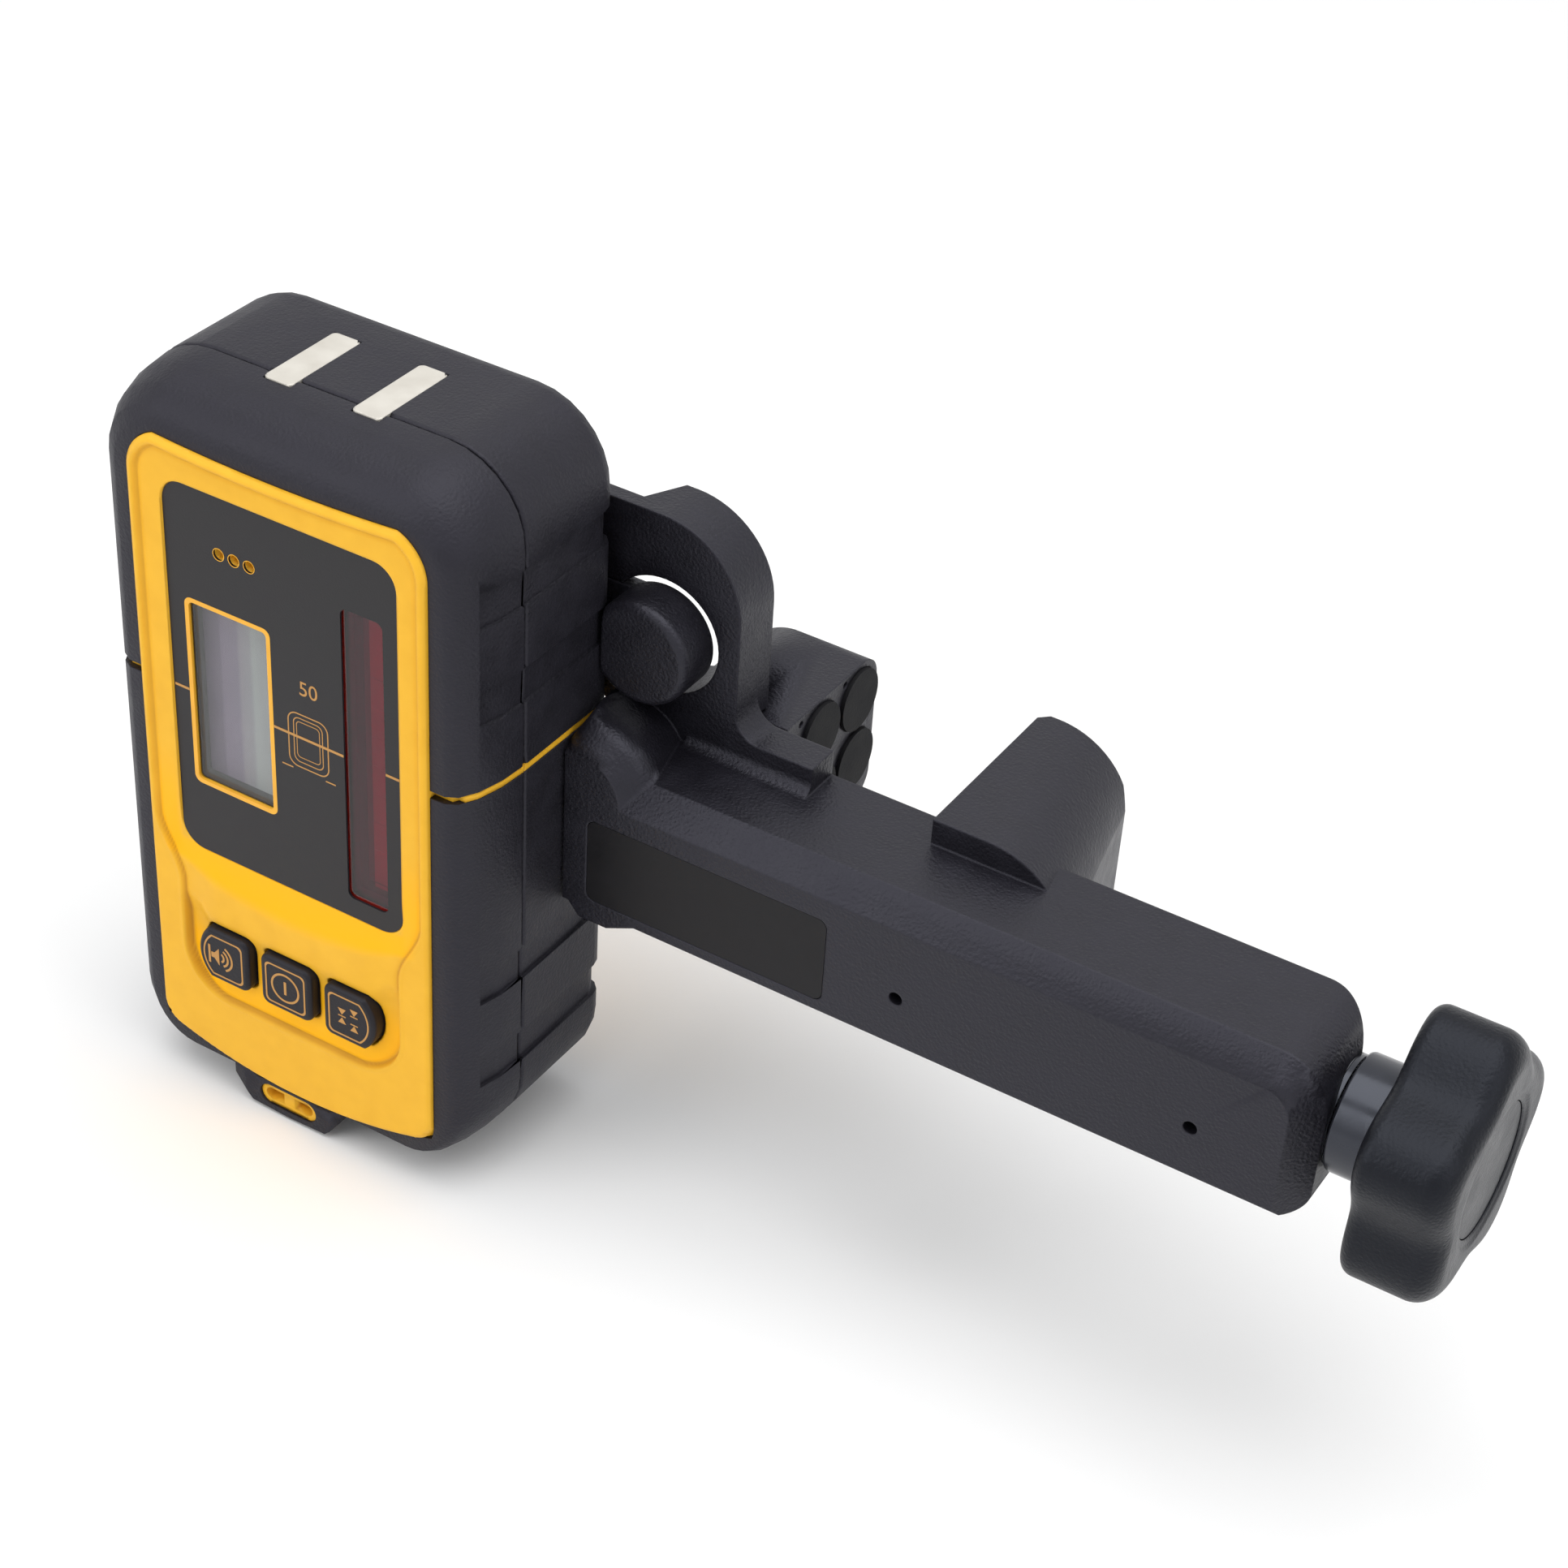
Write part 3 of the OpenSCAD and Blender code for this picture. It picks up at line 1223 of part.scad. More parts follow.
// Half profile that rounds the knob's front and back edges
module knob_profile() {
    r = knob_d / 2 + 0.2;
    square([r - knob_back_round, knob_t / 2]);
    translate([0, knob_back_round]) square([r, knob_t - knob_back_round - knob_round]);
    translate([r - knob_back_round, knob_back_round]) circle(knob_back_round);
    square([r - knob_round, knob_t]);
    translate([r - knob_round, knob_t - knob_round]) circle(knob_round);
}

module clamp_knob() color("#1e1e21") difference() {
    union() {
        on_screw(knob_x, knob_body_x + eps, collar_d);
        intersection() {
            translate([knob_body_x, screw_y, screw_z]) rotate([90, 0, 90])
                linear_extrude(knob_t) knob_outline();
            translate([knob_body_x, screw_y, screw_z]) rotate([0, 90, 0]) rotate_extrude() knob_profile();
        }
    }
    on_screw(knob_x - eps, knob_end_x - knob_bore_stop + seat_gap, screw_d + 2 * pin_gap);
    on_screw(knob_end_x - cap_sink - cap_t, knob_end_x + eps, cap_d + 2 * seat_gap);
}

module knob_cap() color("#1b1b1e")
    on_screw(knob_end_x - cap_sink - cap_t + bond_gap, knob_end_x - cap_sink, cap_d);

in_frame() front_housing();
in_frame() front_grip_upper();
in_frame() front_grip_lower();
in_frame() rear_housing();
in_frame() rear_grip_upper();
in_frame() rear_grip_lower();
in_frame() label_overlay();
in_frame() display_window();
in_frame() sensor_window();
in_frame() lcd_module();
in_frame() photodiode_strip();
in_frame() main_board();
in_frame() buzzer();
in_frame() keypad_mat();
in_frame() sound_button();
in_frame() power_button();
in_frame() range_button();
in_frame() top_magnets();
in_frame() seam_gasket();
in_frame() housing_screws();
in_frame() battery_door();
in_frame() battery_door_pin();
in_frame() battery();
in_frame() battery_contacts();
in_frame() clamp_arm();
in_frame() arm_label();
in_frame() latch_lever();
in_frame() latch_pin();
in_frame() latch_spring();
in_frame() moving_jaw();
in_frame() moving_jaw_pads();
in_frame() jaw_nut();
in_frame() clamp_screw();
in_frame() screw_bush();
in_frame() thrust_washer();
in_frame() retaining_clip();
in_frame() clamp_knob();
in_frame() knob_cap();
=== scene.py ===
import json
import math
import bpy
import bmesh
from mathutils import Matrix, Vector
from mathutils.kdtree import KDTree

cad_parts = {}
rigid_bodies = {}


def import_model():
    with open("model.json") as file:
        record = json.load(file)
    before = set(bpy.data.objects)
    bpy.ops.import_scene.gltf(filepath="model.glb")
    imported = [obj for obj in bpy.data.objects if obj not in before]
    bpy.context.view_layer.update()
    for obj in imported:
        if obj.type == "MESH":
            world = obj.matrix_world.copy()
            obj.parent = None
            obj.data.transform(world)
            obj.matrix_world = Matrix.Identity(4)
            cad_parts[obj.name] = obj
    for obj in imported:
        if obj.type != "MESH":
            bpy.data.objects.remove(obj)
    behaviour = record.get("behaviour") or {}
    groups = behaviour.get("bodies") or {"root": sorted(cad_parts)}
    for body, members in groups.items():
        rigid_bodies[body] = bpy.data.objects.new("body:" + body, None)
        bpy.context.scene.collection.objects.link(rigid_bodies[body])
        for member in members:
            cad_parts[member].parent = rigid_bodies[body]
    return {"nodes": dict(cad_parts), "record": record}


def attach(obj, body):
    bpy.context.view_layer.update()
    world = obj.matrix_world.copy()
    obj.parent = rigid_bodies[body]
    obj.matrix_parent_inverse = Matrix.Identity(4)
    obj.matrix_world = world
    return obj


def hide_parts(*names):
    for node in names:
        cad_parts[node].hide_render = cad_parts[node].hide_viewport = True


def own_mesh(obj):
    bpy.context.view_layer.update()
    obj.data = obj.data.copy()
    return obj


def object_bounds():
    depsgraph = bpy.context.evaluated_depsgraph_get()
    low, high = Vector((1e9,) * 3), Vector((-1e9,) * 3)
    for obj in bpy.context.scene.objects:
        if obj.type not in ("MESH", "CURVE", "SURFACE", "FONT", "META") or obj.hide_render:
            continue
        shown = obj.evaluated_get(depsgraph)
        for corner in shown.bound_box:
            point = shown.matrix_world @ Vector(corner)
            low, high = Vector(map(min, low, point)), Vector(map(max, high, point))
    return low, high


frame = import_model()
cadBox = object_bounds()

nodes = frame["nodes"]
record = frame["record"]
slotOf = {entry["node"]: entry["material_slot"] for entry in record["subparts"]}
bodyOf = {node: body for body, members in record["behaviour"]["bodies"].items() for node in members}
housing = "receiver_and_arm"
gripPoint = (86.9, 57.55, -13.8)  # the frame's origin, in the receiver's own millimetres
toFrame = Matrix.Scale(0.001, 4) @ Matrix.Translation([-v for v in gripPoint])
toReceiver = toFrame.inverted()


def at(x, y, z):
    return toFrame @ Vector((x, y, z))


def linear(hexColour):
    # screen colour to the linear colour a shader takes
    channels = [int(hexColour[i:i + 2], 16) / 255 for i in (0, 2, 4)]
    return tuple([c / 12.92 if c <= 0.04045 else ((c + 0.055) / 1.055) ** 2.4 for c in channels] + [1])


def ease(low, high, value):
    # soft step from 0 to 1
    t = min(1.0, max(0.0, (value - low) / (high - low)))
    return t * t * (3 - 2 * t)


def ridge(value, middle, width):
    # soft bump of height 1
    return math.exp(-((value - middle) / width) ** 2)


# shader helpers
def feed(tree, socket, value):
    # a socket takes a link or a plain value
    if hasattr(value, "links"):
        tree.links.new(value, socket)
    else:
        socket.default_value = value


def newGroup(name, inputs, outputs):
    group = bpy.data.node_groups.new(name, "ShaderNodeTree")
    for label, value in inputs:
        socket = group.interface.new_socket(name=label, in_out="INPUT", socket_type="NodeSocketFloat")
        socket.default_value = value
    for label, kind in outputs:
        group.interface.new_socket(name=label, in_out="OUTPUT", socket_type=kind)
    entry = group.nodes.new("NodeGroupInput")
    leave = group.nodes.new("NodeGroupOutput")
    return group, entry, leave


def placeGroup(tree, group, values):
    node = tree.nodes.new("ShaderNodeGroup")
    node.node_tree = group
    for label, value in values.items():
        node.inputs[label].default_value = value
    return node


def newMaterial(name):
    mat = bpy.data.materials.new(name)
    mat.use_nodes = True
    return mat, mat.node_tree, mat.node_tree.nodes["Principled BSDF"]


def objectCoords(tree):
    return tree.nodes.new("ShaderNodeTexCoord").outputs["Object"]


def addMath(tree, operation, a, b=None, clamp=False):
    node = tree.nodes.new("ShaderNodeMath")
    node.operation = operation
    node.use_clamp = clamp
    feed(tree, node.inputs[0], a)
    if b is not None:
        feed(tree, node.inputs[1], b)
    return node.outputs[0]


def addNoise(tree, vector, scale, detail, roughness):
    node = tree.nodes.new("ShaderNodeTexNoise")
    for label, value in (("Vector", vector), ("Scale", scale), ("Detail", detail), ("Roughness", roughness)):
        feed(tree, node.inputs[label], value)
    return node.outputs[0]


def mixColour(tree, factor, a, b):
    node = tree.nodes.new("ShaderNodeMix")
    node.data_type = "RGBA"
    for socket, value in ((node.inputs[0], factor), (node.inputs[6], a), (node.inputs[7], b)):
        feed(tree, socket, value)
    return node.outputs[2]


def spread(tree, value, low, high, start=0.25, end=0.75):
    node = tree.nodes.new("ShaderNodeMapRange")
    tree.links.new(value, node.inputs["Value"])
    for label, number in (("From Min", start), ("From Max", end), ("To Min", low), ("To Max", high)):
        node.inputs[label].default_value = number
    return node.outputs[0]


# shared shader effects
grainLook = {"cells": 2600.0, "swell": 240.0, "cellShare": 0.6, "fine": (3.0, 0.6), "slow": (2.0, 0.5)}
edgeLook = {"radius": 0.0005, "patch": 300.0, "samples": 4, "gain": 6.0, "patchy": (3.0, 0.6)}


def makeMouldGrain():
    # spark-eroded grain of a moulded face: small cells under a slower swell
    group, entry, leave = newGroup(
        "mouldGrain", [("Cells", grainLook["cells"]), ("Swell", grainLook["swell"])],
        [("Height", "NodeSocketFloat"), ("Mottle", "NodeSocketFloat")])
    coords = objectCoords(group)
    cells = group.nodes.new("ShaderNodeTexVoronoi")
    cells.feature = "SMOOTH_F1"
    group.links.new(coords, cells.inputs["Vector"])
    group.links.new(entry.outputs["Cells"], cells.inputs["Scale"])
    fine = addNoise(group, coords, entry.outputs["Cells"], *grainLook["fine"])
    slow = addNoise(group, coords, entry.outputs["Swell"], *grainLook["slow"])
    pits = addMath(group, "MULTIPLY", cells.outputs["Distance"], grainLook["cellShare"])
    group.links.new(addMath(group, "ADD", pits, fine), leave.inputs["Height"])
    group.links.new(slow, leave.inputs["Mottle"])
    return group


def makeEdgeBreak():
    # how far a rounded normal leaves the true one marks an edge
    group, entry, leave = newGroup(
        "edgeBreak", [("Radius", edgeLook["radius"]), ("Patch", edgeLook["patch"])],
        [("Normal", "NodeSocketVector"), ("Edge", "NodeSocketFloat")])
    soft = group.nodes.new("ShaderNodeBevel")
    soft.samples = edgeLook["samples"]
    group.links.new(entry.outputs["Radius"], soft.inputs["Radius"])
    geometry = group.nodes.new("ShaderNodeNewGeometry")
    dot = group.nodes.new("ShaderNodeVectorMath")
    dot.operation = "DOT_PRODUCT"
    group.links.new(soft.outputs[0], dot.inputs[0])
    group.links.new(geometry.outputs["Normal"], dot.inputs[1])
    bend = addMath(group, "SUBTRACT", 1.0, dot.outputs["Value"])
    sharp = addMath(group, "MULTIPLY", bend, edgeLook["gain"], True)
    patchy = addNoise(group, objectCoords(group), entry.outputs["Patch"], *edgeLook["patchy"])
    group.links.new(addMath(group, "MULTIPLY", sharp, patchy), leave.inputs["Edge"])
    group.links.new(soft.outputs[0], leave.inputs["Normal"])
    return group


mouldGrain = makeMouldGrain()
edgeBreak = makeEdgeBreak()

# what a moulded finish has where it says nothing else
plainLook = dict(bump=0.2, depth=0.00012, round=0.0, wear=0.5, shine=0.5, glow="ffffff", metal=0.0)


def moulded(name, given):
    # one moulded finish: grain, mottled colour, painted shade where the piece's attributes ask for it,
    # softened and slightly rubbed edges
    look = plainLook | given
    mat, tree, shader = newMaterial(name)
    grain = placeGroup(tree, mouldGrain, {"Cells": look["cells"]})
    mottle = spread(tree, grain.outputs["Mottle"], 0.0, 1.0)
    colour = mixColour(tree, mottle, linear(look["dark"]), linear(look["light"]))
    for mark in ("hollow", "creaseShade"):
        if mark in look:
            # painted shade: deeper or darker colour where the piece's own attribute asks for it
            shadeMark = tree.nodes.new("ShaderNodeAttribute")
            shadeMark.attribute_name = mark
            colour = mixColour(tree, shadeMark.outputs["Fac"], colour, linear(look[mark]))
    bump = tree.nodes.new("ShaderNodeBump")
    bump.inputs["Strength"].default_value = look["bump"]
    bump.inputs["Distance"].default_value = look["depth"]
    tree.links.new(grain.outputs["Height"], bump.inputs["Height"])
    if look["round"] > 0:
        edge = placeGroup(tree, edgeBreak, {"Radius": look["round"]})
        worn = addMath(tree, "MULTIPLY", edge.outputs["Edge"], look["wear"], True)
        colour = mixColour(tree, worn, colour, linear(look["rubbed"]))
        tree.links.new(edge.outputs["Normal"], bump.inputs["Normal"])
    tree.links.new(colour, shader.inputs["Base Color"])
    tree.links.new(spread(tree, grain.outputs["Mottle"], *look["gloss"]), shader.inputs["Roughness"])
    tree.links.new(bump.outputs[0], shader.inputs["Normal"])
    shader.inputs["Specular IOR Level"].default_value = look["shine"]
    shader.inputs["Specular Tint"].default_value = linear(look["glow"])
    shader.inputs["Metallic"].default_value = look["metal"]
    return mat


def pane(name, look):
    # clear moulded pane that lets the lamps through
    mat, tree, shader = newMaterial(name)
    shader.inputs["Transmission Weight"].default_value = 1.0
    shader.inputs["IOR"].default_value = look["ior"]
    shader.inputs["Roughness"].default_value = look["gloss"]
    grain = placeGroup(tree, mouldGrain, {"Swell": look["swell"]})
    mottle = spread(tree, grain.outputs["Mottle"], 0.0, 1.0)
    colour = mixColour(tree, mottle, linear(look["dark"]), linear(look["light"]))
    tree.links.new(colour, shader.inputs["Base Color"])
    passing = tree.nodes.new("ShaderNodeBsdfTransparent")
    passing.inputs["Color"].default_value = linear(look["light"])
    both = tree.nodes.new("ShaderNodeMixShader")
    tree.links.new(tree.nodes.new("ShaderNodeLightPath").outputs["Is Shadow Ray"], both.inputs[0])
    tree.links.new(shader.outputs[0], both.inputs[1])
    tree.links.new(passing.outputs[0], both.inputs[2])
    tree.links.new(both.outputs[0], tree.nodes["Material Output"].inputs["Surface"])
    return mat


def shadedLcdPanel(name, look):
    # the display's polariser, with painted shade darker to the left and faint upright bands of painted
    # reflection
    mat, tree, shader = newMaterial(name)
    coords = objectCoords(tree)
    split = tree.nodes.new("ShaderNodeSeparateXYZ")
    tree.links.new(coords, split.inputs[0])
    left, right = at(look["left"], 0, 0).x, at(look["right"], 0, 0).x
    ramp = tree.nodes.new("ShaderNodeValToRGB")
    tree.links.new(spread(tree, split.outputs["X"], 0.0, 1.0, left, right), ramp.inputs[0])
    ramp.color_ramp.elements[0].color = linear(look["shadeStops"][0][1])
    ramp.color_ramp.elements[1].color = linear(look["shadeStops"][-1][1])
    for place, shade in look["shadeStops"][1:-1]:
        ramp.color_ramp.elements.new(place).color = linear(shade)
    stretch = tree.nodes.new("ShaderNodeMapping")
    stretch.inputs["Scale"].default_value = look["stretch"]
    tree.links.new(coords, stretch.inputs["Vector"])
    bands = addNoise(tree, stretch.outputs[0], look["bands"], *look["reflectionNoise"])
    inReflection = spread(tree, bands, 0.0, look["reflectionShare"])
    colour = mixColour(tree, inReflection, ramp.outputs[0], linear(look["band"]))
    tree.links.new(colour, shader.inputs["Base Color"])
    tree.links.new(spread(tree, bands, *look["gloss"]), shader.inputs["Roughness"])
    shader.inputs["Specular IOR Level"].default_value = look["shine"]
    return mat


def diodeCells(name, look):
    # lighter cells down the middle of the carrier, parted by thin gaps
    mat = moulded(name, look)
    tree = mat.node_tree
    shader = tree.nodes["Principled BSDF"]
    split = tree.nodes.new("ShaderNodeSeparateXYZ")
    tree.links.new(objectCoords(tree), split.inputs[0])
    offset = addMath(tree, "SUBTRACT", split.outputs["X"], at(look["middle"], 0, 0).x)
    inStrip = addMath(tree, "LESS_THAN", addMath(tree, "ABSOLUTE", offset), look["half"] / 1000)
    along = addMath(tree, "FRACT", addMath(tree, "MULTIPLY", split.outputs["Z"], 1000 / look["pitch"]))
    inCell = addMath(tree, "MULTIPLY", inStrip, addMath(tree, "GREATER_THAN", along, look["gapShare"]))
    plain = shader.inputs["Base Color"].links[0].from_socket
    tree.links.new(mixColour(tree, inCell, plain, linear(look["cell"])), shader.inputs["Base Color"])
    return mat


# one finish for each material slot
finishes = {
    # yellow shell: its deeper and its darker yellow are painted shade, for the bezel's hollows and its crease
    "yellow_shell": dict(dark="ebb12b", light="f2b932", rubbed="ffd070", hollow="ffb900", creaseShade="b06f08",
                         cells=2000, gloss=(0.42, 0.5), bump=0.06, wear=0.35, round=0.0004, shine=0.2),
    "grip_rubber": dict(dark="18171c", light="1e1d23", rubbed="3a3941", cells=2000, gloss=(0.44, 0.54),
                        bump=0.5, depth=0.0002, wear=0.5, round=0.0003, shine=0.37, glow="e6e5f6"),
    "label_film": dict(dark="1c1b1d", light="201e21", cells=4200, gloss=(0.4, 0.48), bump=0.12, shine=0.31),
    "circuit_parts": dict(dark="121214", light="1c1c20", cells=1800, gloss=(0.4, 0.5), bump=0.1, shine=0.3),
    "circuit_board": dict(dark="12492f", light="185a3a", cells=1500, gloss=(0.35, 0.45), bump=0.1),
    "key_rubber": dict(dark="17161a", light="1e1d22", cells=2600, gloss=(0.42, 0.52), shine=0.28,
                       glow="efeef8"),
    "magnet": dict(dark="c9c4ba", light="d8d4cb", rubbed="eeeae2", cells=1700, gloss=(0.3, 0.42),
                   bump=0.15, metal=0.35, round=0.0003),
    "gasket_rubber": dict(dark="0c0c0e", light="121214", cells=2600, gloss=(0.6, 0.7), shine=0.2),
    "screw_steel": dict(dark="8d9095", light="a5a8ad", cells=1900, gloss=(0.26, 0.36), metal=1.0, bump=0.1),
    "battery_case": dict(dark="2e3136", light="3a3e44", cells=1200, gloss=(0.3, 0.4), bump=0.05),
    "clamp_plastic": dict(dark="131217", light="19181e", rubbed="3a3941", cells=2000, gloss=(0.36, 0.46),
                          bump=0.5, depth=0.00019, wear=0.6, round=0.0005, shine=0.42, glow="e6e6f8"),
    "arm_label": dict(dark="121114", light="171619", cells=4200, gloss=(0.36, 0.44), bump=0.05, shine=0.21),
    "pad_rubber": dict(dark="121214", light="19191c", cells=2400, gloss=(0.6, 0.7), bump=0.25, shine=0.14),
    "nut_brass": dict(dark="a8803a", light="c29a50", cells=1500, gloss=(0.26, 0.36), metal=1.0),
    "bush_plastic": dict(dark="55575d", light="606268", cells=2600, gloss=(0.3, 0.4), bump=0.05),
    "knob_plastic": dict(dark="0b0c10", light="111217", cells=2000, gloss=(0.31, 0.4), bump=0.45,
                         depth=0.00017, shine=0.25, glow="e2e8f8"),
}
# second finishes on pieces of those slots
inks = {
    "printInk": dict(dark="b98540", light="c08c47", cells=4200, gloss=(0.45, 0.55), bump=0.04),
    "windowLip": dict(dark="eaa81f", light="f2b228", cells=3000, gloss=(0.36, 0.44), bump=0.04),
    "filterFilm": dict(dark="cf949e", light="d69ca6", cells=3000, gloss=(0.4, 0.5), bump=0.0, shine=0.2),
    "collarGloss": dict(finishes["knob_plastic"], dark="1a1b20", light="212228", gloss=(0.16, 0.24),
                        bump=0.04, shine=0.6),
}
clearPane = dict(dark="f2f5f4", light="fbfdfc", gloss=0.04, ior=1.45, swell=120.0)
redPane = dict(clearPane, dark="b04460", light="b84c68", gloss=0.01)
# display face: painted shade, darkest in a band by the left edge and lighter to the right, with upright bands
# of painted reflection
lcdShadeLook = dict(left=-17.1, right=-2.1, bands=420.0, band="6d6874", reflectionNoise=(2.0, 0.6), reflectionShare=0.35,
               stretch=(1.0, 1.0, 0.03), gloss=(0.3, 0.4), shine=0.1,
               shadeStops=[(0.0, "53495a"), (0.22, "5d5264"), (0.25, "6d6273"), (0.44, "726878"),
                      (0.48, "807b83"), (0.6, "858388"), (0.64, "929494"), (1.0, "989b9a")])
diodeLook = dict(finishes["circuit_parts"], dark="887a86", light="90828e", bump=0.0,
                 middle=14.8, half=1.5, pitch=5.2, gapShare=0.05, cell="d09aa2")

finish = {name: moulded(name, look) for name, look in (finishes | inks).items()}
finish["clear_pane"] = pane("clear_pane", clearPane)
finish["red_pane"] = pane("red_pane", redPane)
finish["lcd_glass"] = shadedLcdPanel("lcd_glass", lcdShadeLook)
finish["diodeCells"] = diodeCells("diodeCells", diodeLook)
print("finishes", len(finish), "slots", len(slotOf))

for name, part in nodes.items():
    part.data.materials.clear()
    part.data.materials.append(finish["diodeCells" if name == "photodiode_strip" else slotOf[name]])


# modelling helpers: shapes are in the receiver's millimetres until addPiece
nodeMerge = 2e-7  # metres, joins a node's loose triangles
nodeSliver = 1e-7  # metres
outlineMerge = 1e-4
softAngle = 38  # degrees, sharper edges than this stay sharp
flatAngle = math.radians(0.2)  # faces that bend less are one face


def fromNode(name):
    shape = bmesh.new()
    shape.from_mesh(nodes[name].data)
    bmesh.ops.remove_doubles(shape, verts=shape.verts, dist=nodeMerge)
    bmesh.ops.dissolve_degenerate(shape, dist=nodeSliver, edges=shape.edges)
    bmesh.ops.transform(shape, matrix=toReceiver, verts=shape.verts)
    return shape


def addPiece(shape, name, body, slot, replaced=(), angle=softAngle, look=None):
    bmesh.ops.transform(shape, matrix=toFrame, verts=shape.verts)
    mesh = bpy.data.meshes.new(name)
    shape.to_mesh(mesh)
    shape.free()
    mesh.polygons.foreach_set("use_smooth", [True] * len(mesh.polygons))
    mesh.set_sharp_from_angle(angle=math.radians(angle))
    piece = bpy.data.objects.new(name, mesh)
    bpy.context.scene.collection.objects.link(piece)
    mesh.materials.append(finish[look or slot])
    even = piece.modifiers.new("evenNormals", "WEIGHTED_NORMAL")  # flat faces stay flat beside rounded ones
    even.keep_sharp = True
    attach(piece, body)
    if replaced:
        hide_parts(*replaced)
    return piece


def skinName(node):
    words = node.split("_")
    return words[0] + "".join(w.capitalize() for w in words[1:]) + "Skin"


def softCopy(node, angle=softAngle):
    shape = fromNode(node)
    bmesh.ops.dissolve_limit(shape, angle_limit=flatAngle, verts=shape.verts, edges=shape.edges)
    return addPiece(shape, skinName(node), bodyOf[node], slotOf[node], (node,), angle)


def inOrder(items):
    # each item once, in the order found, so that every run makes the same mesh
    return list(dict.fromkeys(items))


def isHard(edge):
    return len(edge.link_faces) == 2 and edge.calc_face_angle(0) > 1


def frontEdges(shape, front):
    # hard edges round the front face of a flat shape
    return [e for e in shape.edges if all(v.co.y < front + 0.01 for v in e.verts) and isHard(e)]


def roundEdges(shape, edges, offset, segments, clamp=True):
    bmesh.ops.bevel(shape, geom=edges, offset=offset, offset_type="OFFSET", segments=segments, profile=0.5,
                    affect="EDGES", material=-1, clamp_overlap=clamp)


def trueRound(piece, point, axis, radius):
    # faces on a known cylinder take its own normals instead of the facets'
    offRadius, facing = 0.04, 0.9
    held = piece.evaluated_get(bpy.context.evaluated_depsgraph_get())
    normals = [Vector(c.vector) for c in held.data.corner_normals]
    piece.modifiers.remove(piece.modifiers["evenNormals"])
    mesh = piece.data
    middle = toFrame @ Vector(point)
    axis = Vector(axis).normalized()

    def out(co):
        d = co - middle
        return d - axis * d.dot(axis)
    for face in mesh.polygons:
        spokes = [out(mesh.vertices[i].co) for i in face.vertices]
        onRadius = all(abs(s.length * 1000 - radius) <= offRadius for s in spokes)
        if not onRadius or out(face.center).normalized().dot(face.normal) < facing:
            continue
        for corner, spoke in zip(face.loop_indices, spokes):
            normals[corner] = spoke.normalized()
    mesh.normals_split_custom_set(normals)


def circleLoop(cx, cz, r, steps=40):
    angles = [math.tau * i / steps for i in range(steps)]
    return [(cx + r * math.cos(a), cz + r * math.sin(a)) for a in angles]


def roundLoop(cx, cz, w, h, r, steps=8):
    loop = []
    for qx, qz, start in ((1, 1, 0), (-1, 1, 90), (-1, -1, 180), (1, -1, 270)):
        for i in range(steps + 1):
            a = math.radians(start + 90 * i / steps)
            loop.append((cx + qx * (w / 2 - r) + r * math.cos(a), cz + qz * (h / 2 - r) + r * math.sin(a)))
    return loop


def barLoop(x0, z0, x1, z1, line):
    along = Vector((x1 - x0, z1 - z0)).normalized() * line / 2
    side = Vector((-along.y, along.x))
    return [(x0 + side.x, z0 + side.y), (x0 - side.x, z0 - side.y),
            (x1 - side.x, z1 - side.y), (x1 + side.x, z1 + side.y)]


def arcBand(cx, cz, r, line, start, end, steps=16):
    angles = [math.radians(start + (end - start) * i / steps) for i in range(steps + 1)]
    outer = [(cx + (r + line / 2) * math.cos(a), cz + (r + line / 2) * math.sin(a)) for a in angles]
    inner = [(cx + (r - line / 2) * math.cos(a), cz + (r - line / 2) * math.sin(a)) for a in reversed(angles)]
    return outer + inner


def fromCurve(curve):
    # a flat curve or text made a mesh that faces the front, and then dropped
    holder = bpy.data.objects.new(curve.name, curve)
    mesh = bpy.data.meshes.new_from_object(holder)
    shape = bmesh.new()
    shape.from_mesh(mesh)
    for data, store in ((holder, bpy.data.objects), (curve, bpy.data.curves), (mesh, bpy.data.meshes)):
        store.remove(data)
    bmesh.ops.remove_doubles(shape, verts=shape.verts, dist=outlineMerge)
    quarter = Matrix.Rotation(math.radians(90), 3, "X")
    bmesh.ops.rotate(shape, verts=shape.verts, cent=(0, 0, 0), matrix=quarter)
    return shape


def flatShape(loops, face, thick):
    # closed outlines in x and z, filled, standing on the plane y = face and reaching towards the front
    curve = bpy.data.curves.new("outlineDraft", "CURVE")
    curve.dimensions = "2D"
    curve.fill_mode = "BOTH"
    curve.extrude = thick / 2
    for loop in loops:
        line = curve.splines.new("POLY")
        line.points.add(len(loop) - 1)
        for point, (x, z) in zip(line.points, loop):
            point.co = (x, z, 0, 1)
        line.use_cyclic_u = True
    shape = fromCurve(curve)
    bmesh.ops.translate(shape, vec=(0, face - thick / 2, 0), verts=shape.verts)
    bmesh.ops.recalc_face_normals(shape, faces=shape.faces)
    return shape


def printed(name, loops, face, body, slot, thick=0.035, look="printInk"):
    return addPiece(flatShape(loops, face, thick), name, body, slot, (), 30, look)


# mouldings whose solids already have the right form
for node in ("rear_housing", "label_overlay", "housing_screws", "battery_door", "arm_label", "latch_lever",
             "moving_jaw", "moving_jaw_pads", "screw_bush", "thrust_washer", "knob_cap", "seam_gasket"):
    softCopy(node)
bpy.data.objects["thrustWasherSkin"].data.materials[0] = finish["collarGloss"]
arm = softCopy("clamp_arm", 24)

